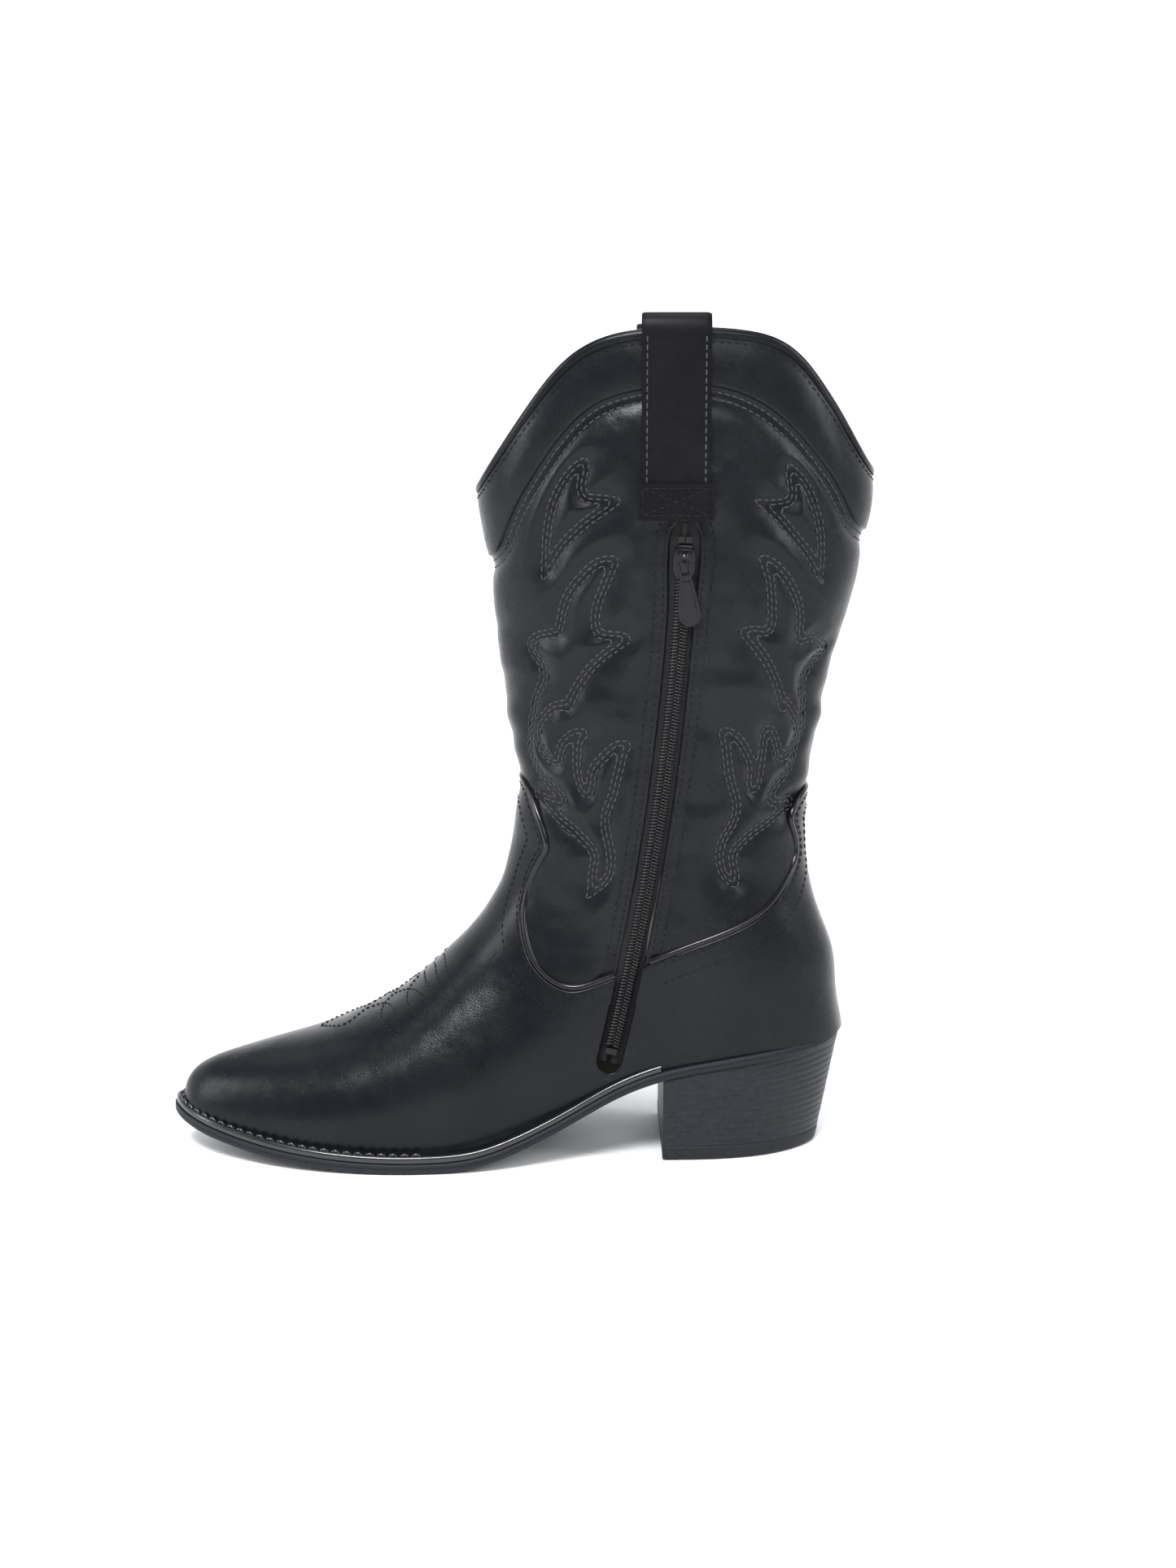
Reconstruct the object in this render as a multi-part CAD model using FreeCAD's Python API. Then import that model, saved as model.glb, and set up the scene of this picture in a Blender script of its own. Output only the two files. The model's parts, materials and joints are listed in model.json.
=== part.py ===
import FreeCAD, Part
import math
import os

from FreeCAD import Vector

# Cowboy boot for the right foot, with a zip on the inner side.  Millimetres.
# Toe towards -X, heel towards +X, zip side towards -Y, +Z up, ground at Z = 0.

# ---------------------------------------------------------------- the upper
# Cross-sections of the outer face of the shaft leather, from toe to collar.
# front x, front z, back x, back z, half width, centre y, share of the widest
# point measured from the front, roundness front, roundness back, tip shift
SECTIONS = [
    (-135.6, 21.5, -135.6, 11.0, 2.2, -5.6, 0.50, 2.0, 2.0, 1.0),
    (-134.6, 25.5, -134.8, 4.0, 6.2, -5.5, 0.52, 2.0, 2.4, 0.95),
    (-132.0, 29.3, -132.4, 0.0, 10.5, -5.4, 0.54, 2.0, 2.8, 0.7),
    (-126.0, 33.3, -126.0, -2.0, 16.0, -5.0, 0.57, 2.0, 3.2, 0.4),
    (-115.0, 37.0, -115.0, -4.0, 22.5, -4.2, 0.58, 2.0, 3.5, 0.15),
    (-98.0, 41.5, -98.0, -5.0, 30.0, -3.0, 0.60, 2.0, 3.5, 0.0),
    (-78.0, 47.0, -76.0, -6.0, 36.5, -1.5, 0.60, 2.0, 3.5, 0.0),
    (-58.0, 55.5, -54.0, -8.0, 40.5, 0.0, 0.60, 2.0, 3.5, 0.0),
    (-42.0, 65.5, -30.0, -8.0, 41.5, 0.5, 0.60, 2.0, 3.3, 0.0),
    (-28.0, 78.0, 0.0, -4.0, 39.5, 1.2, 0.58, 2.0, 3.0, 0.0),
    (-16.5, 90.0, 38.0, 6.0, 36.0, 1.2, 0.55, 2.0, 2.8, 0.0),
    (-9.5, 100.0, 75.0, 16.0, 34.3, 1.0, 0.52, 2.1, 2.6, 0.0),
    (-5.0, 108.5, 108.0, 22.0, 34.0, 0.6, 0.50, 2.1, 2.5, 0.0),
    (-2.8, 115.0, 131.0, 38.0, 34.2, 0.3, 0.50, 2.1, 2.4, 0.0),
    (-1.2, 121.0, 129.5, 62.0, 34.2, 0.0, 0.50, 2.1, 2.4, 0.0),
    (0.0, 127.0, 127.5, 80.0, 34.0, 0.0, 0.48, 2.1, 2.3, 0.0),
    (1.0, 134.0, 121.5, 97.0, 34.2, 0.0, 0.46, 2.1, 2.2, 0.0),
    (2.0, 141.0, 117.0, 114.0, 34.3, 0.0, 0.48, 2.1, 2.1, 0.0),
    (3.3, 149.0, 115.6, 132.0, 34.8, 0.0, 0.50, 2.1, 2.1, 0.0),
    (2.2, 158.0, 116.3, 150.0, 35.4, 0.0, 0.50, 2.1, 2.1, 0.0),
    (-0.6, 170.0, 118.8, 167.0, 36.2, 0.0, 0.50, 2.1, 2.1, 0.0),
    (-3.0, 187.0, 122.3, 187.0, 37.7, 0.0, 0.50, 2.1, 2.1, 0.0),
    (-5.0, 207.0, 127.0, 207.0, 39.4, 0.0, 0.50, 2.1, 2.1, 0.0),
    (-7.5, 227.0, 133.0, 227.0, 41.2, 0.0, 0.50, 2.1, 2.1, 0.0),
    (-10.5, 247.0, 137.5, 247.0, 42.8, 0.0, 0.50, 2.1, 2.1, 0.0),
    (-14.0, 267.0, 140.3, 267.0, 43.3, 0.0, 0.50, 2.1, 2.1, 0.0),
    (-15.0, 287.0, 140.0, 287.0, 43.0, 0.0, 0.50, 2.1, 2.1, 0.0),
    (-14.0, 310.0, 138.0, 310.0, 42.8, 0.0, 0.50, 2.1, 2.1, 0.0),
    (-12.0, 340.0, 136.0, 340.0, 42.5, 0.0, 0.50, 2.1, 2.1, 0.0),
]
POINTS_ROUND = 36

# Layers, as distances from that face.  Plus is outwards.
GAP = 0.05
FOOT_LEATHER = 1.8
SHAFT_LEATHER = 1.4
COLLAR_STEP = 0.9
FOAM_IN = -2.55
LINING_OUT = -2.6
LINING_IN = -3.3
FOOT_LINING_IN = -2.2
STIFFENER_IN = -1.35
WELT_INNER_EDGE = -3.0

# Edges seen from the side, as x, z points
VAMP_TOP = [(-1, 153.2), (3, 152), (7, 145), (11, 134), (13, 127)]
VAMP_TOP_LOW = [(13, 127), (9, 120), (5, 109), (3, 99), (4, 89), (7, 81), (14, 74), (22, 71),
                (31, 73), (42, 77.5)]
COUNTER_TOP = [(52, 81.5), (60, 85), (70, 89), (86, 95), (101, 104), (108, 113), (112, 122),
               (111, 132), (109, 138)]
COUNTER_TOP_BACK = [(109, 138), (111.5, 143), (115, 147), (121, 149)]
COLLAR_SEAM = [(-22, 236), (-14, 238), (-7, 243), (-1, 256), (7, 271), (19, 288), (31, 299),
               (50, 305), (76, 306), (92, 301), (106, 291), (117, 279), (127, 265), (133, 255),
               (141, 250), (148, 248)]
COLLAR_EDGE = [(-22, 264), (-16, 266.5), (-11.6, 272), (-2.3, 286), (6.9, 299), (16, 310.5),
               (25, 318.5), (34, 323), (45, 325.6), (62, 326.6), (78, 326.6), (89, 325.6),
               (98, 323.6), (107, 318.6), (116, 309), (126, 295), (134, 282.5), (140.5, 275),
               (149, 271)]
LINING_SPLIT = [(-60, 112), (-2, 104), (14, 84), (30, 80), (50, 84), (75, 92), (100, 102),
                (118, 112), (145, 116)]
SHAFT_FRONT_LOW = [(-50, 90), (-6, 82), (8, 66), (22, 60), (70, 62)]
SHAFT_BACK_LOW = [(30, 64), (50, 70), (70, 76), (95, 84), (120, 92), (145, 97)]
TOE_PUFF_END = -96.0
STIFFENER_TOP = [(62, 60), (85, 66), (110, 76), (145, 84)]

# ---------------------------------------------------------------- the sole
UNDERSIDE = [(-146, 15.8), (-136, 12), (-122, 8.3), (-101, 4.3), (-75, 1.2), (-54, 0), (-32, 0),
             (-17, 1.4), (2, 7.6), (22, 17.3), (41, 27.4), (58, 33.6), (75, 37.2), (95, 40.4),
             (115, 43.2), (137, 45.6)]
FEATHER = [(-146, 22.6), (-136, 18.8), (-122, 15.2), (-101, 11.2), (-75, 8.2), (-54, 7.2),
           (-32, 7.4), (-17, 8.8), (2, 14.2), (22, 22.7), (41, 31.9), (58, 37.9), (75, 41.4),
           (95, 44.6), (115, 47.4), (137, 49.8)]
OUTSOLE_THICK = 4.0
INSOLE_THICK = 2.3
SOCK_THICK = 1.1
SOLE_INNER = [(-141.4, -5.5), (-139.6, -12.5), (-135, -19), (-126, -26.8), (-114, -33.4),
              (-98, -39.8), (-78, -44.8), (-56, -47.3), (-33, -47), (-5, -44), (28, -38.4),
              (58, -35), (80, -34), (100, -31.8), (115, -26.8), (126, -17.6), (132.2, -3)]
SOLE_OUTER = [(132.2, 3), (126, 17.6), (115, 27.2), (100, 32.4), (80, 35.2), (58, 37),
              (28, 40.6), (-5, 46.2), (-33, 48), (-56, 47.4), (-78, 42.6), (-98, 35),
              (-114, 25.8), (-126, 17), (-135, 7.8), (-139.6, 1.5)]
WELT_INSET = 0.7
WELT_END = 58.0
THREAD_FROM_EDGE = 1.6
THREAD_WIDE = 0.9
THREAD_HIGH = 0.5
THREAD_AIR = 0.35

# ---------------------------------------------------------------- the heel
HEEL_BREAST = 59.0
HEEL_BOTTOM_BACK = 123.4
HEEL_TOP_BACK = 133.2
HEEL_TOP_Z = 50.0
HEEL_BOTTOM_HALF = 30.0
HEEL_TOP_HALF = 35.0
TOP_LIFT = 5.5
SCREW_X = 88.0
SCREW_DIAMETER = 5.0
SCREW_BOTTOM = 12.0
SCREW_TOP = 45.4
NAIL_DIAMETER = 1.6
NAIL_BOTTOM = 1.2
NAIL_TOP = 16.0
NAIL_SPOTS = [(66, -20), (66, 20), (108, -13), (108, 13)]
SHANK_FRONT = -16.0
SHANK_BACK = 92.0
SHANK_HALF = 6.0
SHANK_THICK = 1.2

# ---------------------------------------------------------------- the zip
TRACK_TOP = (65.4, 241.5)
TRACK_MIDDLE = (56.9, 145.0)
TRACK_BOTTOM = (37.2, 42.0)
TRACK_DEPTH = 0.9
SLOT_HALF = 5.5
SLOT_TOP = 255.5
SLOT_BOTTOM = 37.5
TAPE_HALF = 12.0
TAPE_INNER = 4.6
TAPE_LIP = 1.6
TAPE_LIP_END = 5.2
TAPE_LIP_LOW = -1.35
TAPE_LIP_HIGH = -0.9
TAPE_SPACE = 0.5
TAPE_OVER = 5.0
TAPE_UNDER = 3.0
TAPE_OUT = -1.75
TAPE_IN = -2.2
LINING_CLEAR = 13.5
GUARD_OUT = -4.2
GUARD_IN = -4.9
GUARD_HALF = 17.0
GUARD_BOTTOM = 50.0
COIL_INNER = 0.1
COIL_OUTER = 3.0
COIL_HALF_HIGH = 0.85
SLIDER_HALF = 4.3
SLIDER_UP = 6.0
SLIDER_DOWN = -7.0
PLATE_LOW = 1.1
PLATE_HIGH = 2.0
BASE_LOW = -2.4
BASE_HIGH = -1.7
FLANGE_LOW = -0.45
BRIDGE_HALF = 1.0
PULLER_AXIS_UP = -1.1
PULLER_AXIS_OUT = 3.4
PULLER_BAR = 1.2
PULLER_LONG = 24.0
PULLER_TOP_WIDE = 5.0
PULLER_END_WIDE = 8.7
PULLER_THICK = 1.2
PULLER_TILT = 9.0
PULLER_LEAN = 4.0
STOP_LONG = 2.4
STOP_WIDE = 2.3
COIL_START = -0.17
COIL_END = 13.05
STOP_ANGLE = 13.25

# ---------------------------------------------------------------- pull straps
STRAP_FRONT = 49.0
STRAP_BACK = 75.0
STRAP_THICK = 1.5
STRAP_AIR = 0.25
STRAP_LOW_OUT = 258.0
STRAP_LOW_IN = 284.0
STRAP_TOP = 333.4
PATCH_LOW = 256.6
PATCH_HIGH = 270.4
PATCH_THICK = 1.2
PATCH_SIDE = 1.4
SIDE_STRIP_HALF = 4.0
SIDE_STRIP_THICK = 0.9
PIPING_WIDE = 2.2
PIPING_OUT = 2.5
BINDING_DEEP = 3.6
BINDING_OVER = 0.8
BINDING_OUT = 1.6
BINDING_IN = -4.1

FAR = 130.0


def superellipse(section, offset, count):
    """Points of one cross-section, moved outwards by offset, evenly spaced."""
    fx, fz, bx, bz, half, centre, share, round_front, round_back, tip = section
    offset = max(offset, -0.55 * half)
    depth = math.hypot(bx - fx, bz - fz)
    ux = (bx - fx) / depth
    uz = (bz - fz) / depth
    fine = 720
    flat = []
    for i in range(fine):
        angle = 2 * math.pi * i / fine
        c = math.cos(angle)
        s = math.sin(angle)
        power = round_front if c >= 0 else round_back
        reach = (abs(c) ** power + abs(s) ** power) ** (-1 / power)
        side = share * depth if c >= 0 else (1 - share) * depth
        flat.append((share * depth - reach * c * side, -reach * s * half))
    moved = []
    for i in range(fine):
        h0, y0 = flat[i - 2]
        h1, y1 = flat[(i + 2) % fine]
        length = math.hypot(h1 - h0, y1 - y0)
        moved.append((flat[i][0] + offset * (y1 - y0) / length,
                      flat[i][1] - offset * (h1 - h0) / length))
    if moved[0][0] > flat[0][0] and offset > 0 or moved[0][0] < flat[0][0] and offset < 0:
        moved = [(2 * a[0] - b[0], 2 * a[1] - b[1]) for a, b in zip(flat, moved)]
    along = [0.0]
    for i in range(fine):
        along.append(along[-1] + math.dist(moved[i], moved[(i + 1) % fine]))
    points = []
    j = 0
    for i in range(count):
        target = along[-1] * i / count
        while along[j + 1] < target:
            j += 1
        f = (target - along[j]) / (along[j + 1] - along[j])
        h = moved[j][0] * (1 - f) + moved[(j + 1) % fine][0] * f
        y = moved[j][1] * (1 - f) + moved[(j + 1) % fine][1] * f
        points.append(Vector(fx + ux * h - tip * offset, centre + y, fz + uz * h))
    return points


def skin(offset):
    """The solid inside the face that lies offset outside the shaft face."""
    rings = [superellipse(section, offset, POINTS_ROUND) for section in SECTIONS]
    steps = [0.0]
    for before, after in zip(rings, rings[1:]):
        gap = sum((a - b).Length for a, b in zip(before, after)) / POINTS_ROUND
        steps.append(steps[-1] + gap)
    ring_poles = []
    for ring in rings:
        curve = Part.BSplineCurve()
        curve.interpolate(Points=ring, PeriodicFlag=True,
                          Parameters=[float(i) for i in range(POINTS_ROUND + 1)])
        ring_poles.append(curve.getPoles())
    around = curve
    poles = []
    for j in range(len(ring_poles[0])):
        curve = Part.BSplineCurve()
        curve.interpolate(Points=[ring[j] for ring in ring_poles], Parameters=steps)
        poles.append(curve.getPoles())
    surface = Part.BSplineSurface()
    surface.buildFromPolesMultsKnots(poles, around.getMultiplicities(),
                                     curve.getMultiplicities(), around.getKnots(),
                                     curve.getKnots(), True, False, around.Degree, curve.Degree)
    side = surface.toShape()
    caps = []
    for edge in side.Edges:
        if edge.isClosed() and edge.Length > 0.01 and not edge.isSeam(side.Faces[0]):
            caps.append(Part.Face(Part.Wire([edge])))
    shell = Part.Shell([side.Faces[0]] + caps)
    shell.sewShape()
    solid = Part.Solid(shell)
    if solid.Volume < 0:
        solid.reverse()
    return solid


SKINS = {}


def inside(offset):
    if offset not in SKINS:
        SKINS[offset] = skin(offset)
    return SKINS[offset]


def layer(inner, outer):
    return inside(outer).cut(inside(inner))


def edge_through(points):
    if len(points) == 2:
        return Part.makeLine(points[0], points[1])
    curve = Part.BSplineCurve()
    curve.interpolate(points)
    return curve.toShape()


def closed_wire(chains):
    """Join chains of points into one closed wire, with straight links between them."""
    edges = []
    for i, chain in enumerate(chains):
        if len(chain) > 1:
            edges.append(edge_through(chain))
        following = chains[(i + 1) % len(chains)]
        if (chain[-1] - following[0]).Length > 1e-6:
            edges.append(Part.makeLine(chain[-1], following[0]))
    return Part.Wire(edges)


def region(*chains, y_from=-FAR, y_to=FAR):
    """Everything that lies inside an outline seen from the side."""
    walls = [[Vector(x, y_from, z) for x, z in chain] for chain in chains]
    face = Part.Face(closed_wire(walls))
    return face.extrude(Vector(0, y_to - y_from, 0))


def column(chains, z_from=-20.0, z_to=90.0):
    """Everything that lies inside an outline seen from above."""
    walls = [[Vector(x, y, z_from) for x, y in chain] for chain in chains]
    face = Part.Face(closed_wire(walls))
    return face.extrude(Vector(0, 0, z_to - z_from))


def raised(chain, rise):
    return [(x, z + rise) for x, z in chain]


def shifted(chain, distance, count=48):
    """A chain moved sideways (to its left) by distance, seen from the side."""
    curve = Part.BSplineCurve()
    curve.interpolate([Vector(x, 0, z) for x, z in chain])
    first, last = curve.FirstParameter, curve.LastParameter
    result = []
    for i in range(count + 1):
        t = first + (last - first) * i / count
        point = curve.value(t)
        tangent = curve.tangent(t)[0]
        result.append((point.x - tangent.z * distance, point.z + tangent.x * distance))
    return result


def backwards(chain):
    return list(reversed(chain))


def face_point(x, z, offset, outward=-1):
    """Where a line across the boot leaves the face at an offset."""
    line = Part.makeLine(Vector(x, outward * FAR, z), Vector(x, 0, z))
    hit = inside(offset).common(line)
    return max((vertex.Point for vertex in hit.Vertexes), key=lambda p: outward * p.y)


HIGH = face_point(*TRACK_TOP, -TRACK_DEPTH)
LOW = face_point(*TRACK_BOTTOM, -TRACK_DEPTH)
MIDDLE = face_point(*TRACK_MIDDLE, -TRACK_DEPTH)
CENTRE = Part.Arc(HIGH, MIDDLE, LOW).toShape().Curve.Center
ARM = HIGH - CENTRE
AXIS = ARM.cross(LOW - CENTRE).normalize()
WHOLE_TURN = math.degrees(ARM.getAngle(LOW - CENTRE))
HALF_TURN = WHOLE_TURN / 2


def turned(vector, degrees):
    return FreeCAD.Rotation(AXIS, degrees).multVec(vector)


def track_axes(degrees):
    """Point on the track, and the side, up and outward directions there."""
    arm = turned(ARM, degrees)
    up = arm.cross(AXIS).normalize()
    half_up = turned(ARM, HALF_TURN).cross(AXIS).normalize()
    half_out = Vector(0, -1, 0) + half_up * half_up.y
    out = turned(half_out.normalize(), degrees - HALF_TURN)
    return CENTRE + arm, up.cross(out), up, out


def placed(shape, degrees):
    """Move a shape drawn about the origin to a place on the track."""
    point, side, up, out = track_axes(degrees)
    matrix = FreeCAD.Matrix(side.x, up.x, out.x, point.x, side.y, up.y, out.y, point.y,
                            side.z, up.z, out.z, point.z, 0, 0, 0, 1)
    result = shape.copy()
    result.Placement = FreeCAD.Placement(matrix).multiply(shape.Placement)
    return result


def swept(profile, from_degrees, to_degrees):
    """Turn a profile of side, out points along the track."""
    point, side, up, out = track_axes(from_degrees)
    corners = [point + side * a + out * b for a, b in profile]
    face = Part.Face(Part.makePolygon(corners + corners[:1]))
    return face.revolve(CENTRE, AXIS, to_degrees - from_degrees)


def track_line():
    """The middle of the zip seen from the side, from the bottom up."""
    points = [track_axes(WHOLE_TURN * i / 12)[0] for i in range(-1, 14)]
    return [(p.x, p.z) for p in reversed(points)]


ZIP_LINE = track_line()
SEAM = [(30, -20), (33.5, 20)] + ZIP_LINE[1:] + [(67.5, 290), (68, 345)]


def zip_strip(from_side, to_side, low, high, y_from=-FAR, y_to=0.0):
    """Band along the zip, between two distances from its middle line."""
    band = region(shifted(SEAM, -from_side), backwards(shifted(SEAM, -to_side)),
                  y_from=y_from, y_to=y_to)
    return band.common(Part.makeBox(2 * FAR, y_to - y_from, high - low,
                                    Vector(-FAR, y_from, low)))


def tape_room():
    """The space that the tapes take up, with some air around them."""
    side = TAPE_HALF + TAPE_SPACE
    return zip_strip(-side, side, SLOT_BOTTOM - TAPE_UNDER - TAPE_SPACE,
                     SLOT_TOP + TAPE_OVER + TAPE_SPACE)


def keep(name, shape):
    """Write one piece as its own STEP file."""
    solids = sorted(shape.Solids, key=lambda solid: -solid.Volume)
    solids[0].exportStep("parts/" + name + ".step")


def write_foot():
    """Vamp, counter, stiffeners and foot lining, cut from nested layers."""
    above = region(raised(FEATHER, GAP), [(160, 400), (-160, 400)])
    seam_low = [point for point in SEAM if point[1] < 79]
    front_seam = backwards(shifted(seam_low, GAP))
    back_seam = shifted(seam_low, -GAP)
    toe_side = [(-160, -60), (-160, 160)]
    heel_side = [(160, 152), (160, -60)]
    front = region(VAMP_TOP, VAMP_TOP_LOW, front_seam, toe_side)
    back = region(back_seam, COUNTER_TOP, COUNTER_TOP_BACK, heel_side)
    slot = zip_slot(SLOT_HALF)
    wide_slot = zip_slot(LINING_CLEAR)
    below_split = region(raised(LINING_SPLIT, -0.3), [(160, -80), (-160, -80)])
    leather = layer(GAP, FOOT_LEATHER).common(above).cut(slot)
    keep("vamp", leather.common(front))
    keep("counter", leather.common(back))
    lining = layer(FOOT_LINING_IN, STIFFENER_IN - GAP).common(above).common(below_split)
    lining = lining.cut(wide_slot).cut(tape_room())
    keep("vamp_lining", lining.common(region(shifted(SEAM, GAP), [(-160, 345), (-160, -20)])))
    keep("counter_lining", lining.common(region(shifted(SEAM, -GAP), [(160, 345), (160, -20)])))
    stiff = layer(STIFFENER_IN, 0.0).common(above)
    keep("toe_puff", stiff.common(region([(TOE_PUFF_END, -40), (TOE_PUFF_END, 200)],
                                         [(-160, 200), (-160, -40)])))
    keep("counter_stiffener", stiff.common(region(STIFFENER_TOP, [(145, -40), (62, -40)])))
    write_piping(front, back)


def write_piping(front, back):
    """Raised cords that follow the top edges of the vamp and the counter."""
    cord = layer(GAP, PIPING_OUT).cut(zip_slot(SLOT_HALF))
    outside = region([(-160, 20), (160, 20)], [(160, 200), (-160, 200)])
    wide_front = region(shifted(VAMP_TOP + VAMP_TOP_LOW[1:], PIPING_WIDE + GAP),
                        [(46, 60), (-160, 60)])
    wide_back = region(shifted(COUNTER_TOP + COUNTER_TOP_BACK[1:], PIPING_WIDE + GAP),
                       [(160, 60), (52, 60)])
    keep("vamp_piping", cord.common(outside).common(wide_front).cut(front))
    keep("counter_piping", cord.common(outside).common(wide_back).cut(back))


def zip_slot(half):
    """The long rounded opening for the zip on the inner side."""
    widen = half - SLOT_HALF
    line = [point for point in ZIP_LINE if SLOT_BOTTOM - widen + 4 < point[1] < SLOT_TOP - 6]
    top_x = line[-1][0] + 0.3
    low_x = line[0][0] - 0.5
    top = [(shifted(line, half)[-1]), (top_x, SLOT_TOP + widen), (shifted(line, -half)[-1])]
    low = [(shifted(line, -half)[0]), (low_x, SLOT_BOTTOM - widen), (shifted(line, half)[0])]
    return region(shifted(line, half), top, backwards(shifted(line, -half)), low, y_to=0.0)


def write_shaft():
    """Shaft panels, collar bands, padding, linings and the collar binding."""
    front = region(backwards(shifted(SEAM, GAP)), [(-160, -20), (-160, 345)])
    back = region(backwards(shifted(SEAM, -GAP)), [(160, -20), (160, 345)])
    under_seam = region(raised(COLLAR_SEAM, -GAP), [(160, -80), (-160, -80)])
    over_seam = region(raised(COLLAR_SEAM, GAP), [(160, 360), (-160, 360)])
    under_edge = region(COLLAR_EDGE, [(160, -80), (-160, -80)])
    under_lining = region(raised(COLLAR_EDGE, -0.4), [(160, -80), (-160, -80)])
    over_front = region(SHAFT_FRONT_LOW, [(160, 360), (-160, 360)])
    over_back = region(SHAFT_BACK_LOW, [(160, 360), (-160, 360)])
    over_split = region(LINING_SPLIT, [(160, 360), (-160, 360)])
    slot = zip_slot(SLOT_HALF)
    wide_slot = zip_slot(LINING_CLEAR)

    panel = layer(-SHAFT_LEATHER, 0.0).common(under_seam).cut(slot)
    keep("shaft_front", panel.common(front).common(over_front))
    keep("shaft_back", panel.common(back).common(over_back))
    collar = layer(-SHAFT_LEATHER, COLLAR_STEP).common(over_seam).common(under_edge)
    keep("collar_front", collar.common(front))
    keep("collar_back", collar.common(back))
    foam = layer(FOAM_IN, -SHAFT_LEATHER - GAP).common(over_split)
    foam = foam.common(under_lining).cut(wide_slot).cut(tape_room())
    keep("padding_front", foam.common(front))
    keep("padding_back", foam.common(back))
    lining = layer(LINING_IN, LINING_OUT).common(over_split).common(under_lining)
    lining = lining.cut(wide_slot)
    keep("lining_front", lining.common(front))
    keep("lining_back", lining.common(back))

    low_edge = region(raised(COLLAR_EDGE, -BINDING_DEEP), [(160, 360), (-160, 360)])
    high_edge = region(raised(COLLAR_EDGE, BINDING_OVER), [(160, -80), (-160, -80)])
    binding = layer(BINDING_IN, BINDING_OUT).common(low_edge).common(high_edge)
    core = layer(LINING_IN - GAP, COLLAR_STEP + GAP).common(region(
        raised(COLLAR_EDGE, GAP), [(160, -80), (-160, -80)]))
    keep("collar_binding", binding.cut(core))

    strip = layer(GAP, SIDE_STRIP_THICK).common(under_seam)
    strip = strip.common(region(shifted(SEAM, SIDE_STRIP_HALF),
                                backwards(shifted(SEAM, -SIDE_STRIP_HALF)), y_from=0.0))
    over_foot = region(raised(VAMP_TOP_LOW[-3:] + COUNTER_TOP[:3], PIPING_WIDE + 0.6),
                       [(80, 360), (20, 360)])
    keep("lateral_side_strip", strip.common(over_foot))


def write_zip():
    """Tapes, coils, stops and guard of the zip."""
    tape = layer(TAPE_IN, TAPE_OUT)
    low, high = SLOT_BOTTOM - TAPE_UNDER, SLOT_TOP + TAPE_OVER
    lip = [(TAPE_LIP, TAPE_LIP_LOW), (TAPE_LIP_END, TAPE_LIP_LOW),
           (TAPE_LIP_END, TAPE_LIP_HIGH), (TAPE_LIP, TAPE_LIP_HIGH)]
    far_lip = [(-side, out) for side, out in lip]
    front = tape.common(zip_strip(-TAPE_HALF, -TAPE_INNER, low, high))
    back = tape.common(zip_strip(TAPE_INNER, TAPE_HALF, low, high))
    keep("zip_tape_front", front.fuse(swept(far_lip, COIL_START, COIL_END)))
    keep("zip_tape_back", back.fuse(swept(lip, COIL_START, COIL_END)))
    guard = layer(GUARD_IN, GUARD_OUT)
    keep("zip_guard", guard.common(zip_strip(-GUARD_HALF, GUARD_HALF, GUARD_BOTTOM, high + 6)))
    deep = COIL_HALF_HIGH
    cut = 0.35
    tooth = [(COIL_INNER, -deep + cut), (COIL_INNER, deep - cut), (COIL_INNER + cut, deep),
             (COIL_OUTER - cut, deep), (COIL_OUTER, deep - cut), (COIL_OUTER, -deep + cut),
             (COIL_OUTER - cut, -deep), (COIL_INNER + cut, -deep)]
    mirrored = [(-side, out) for side, out in tooth]
    start = COIL_START
    keep("zip_coil_back", swept(tooth, start, COIL_END))
    keep("zip_coil_front", swept(mirrored, start, COIL_END))
    for name, near in (("back", 0.3), ("front", -0.3 - STOP_WIDE)):
        stop = Part.makeBox(STOP_WIDE, STOP_LONG, 2 * deep + 0.3,
                            Vector(near, SLIDER_UP + 0.7, -deep))
        keep("zip_top_stop_" + name, placed(stop, 0.0))
    stop = Part.makeBox(2 * STOP_WIDE, STOP_LONG, 2 * deep + 0.3,
                        Vector(-STOP_WIDE, 0, -deep))
    keep("zip_bottom_stop", placed(stop, STOP_ANGLE))


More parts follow.
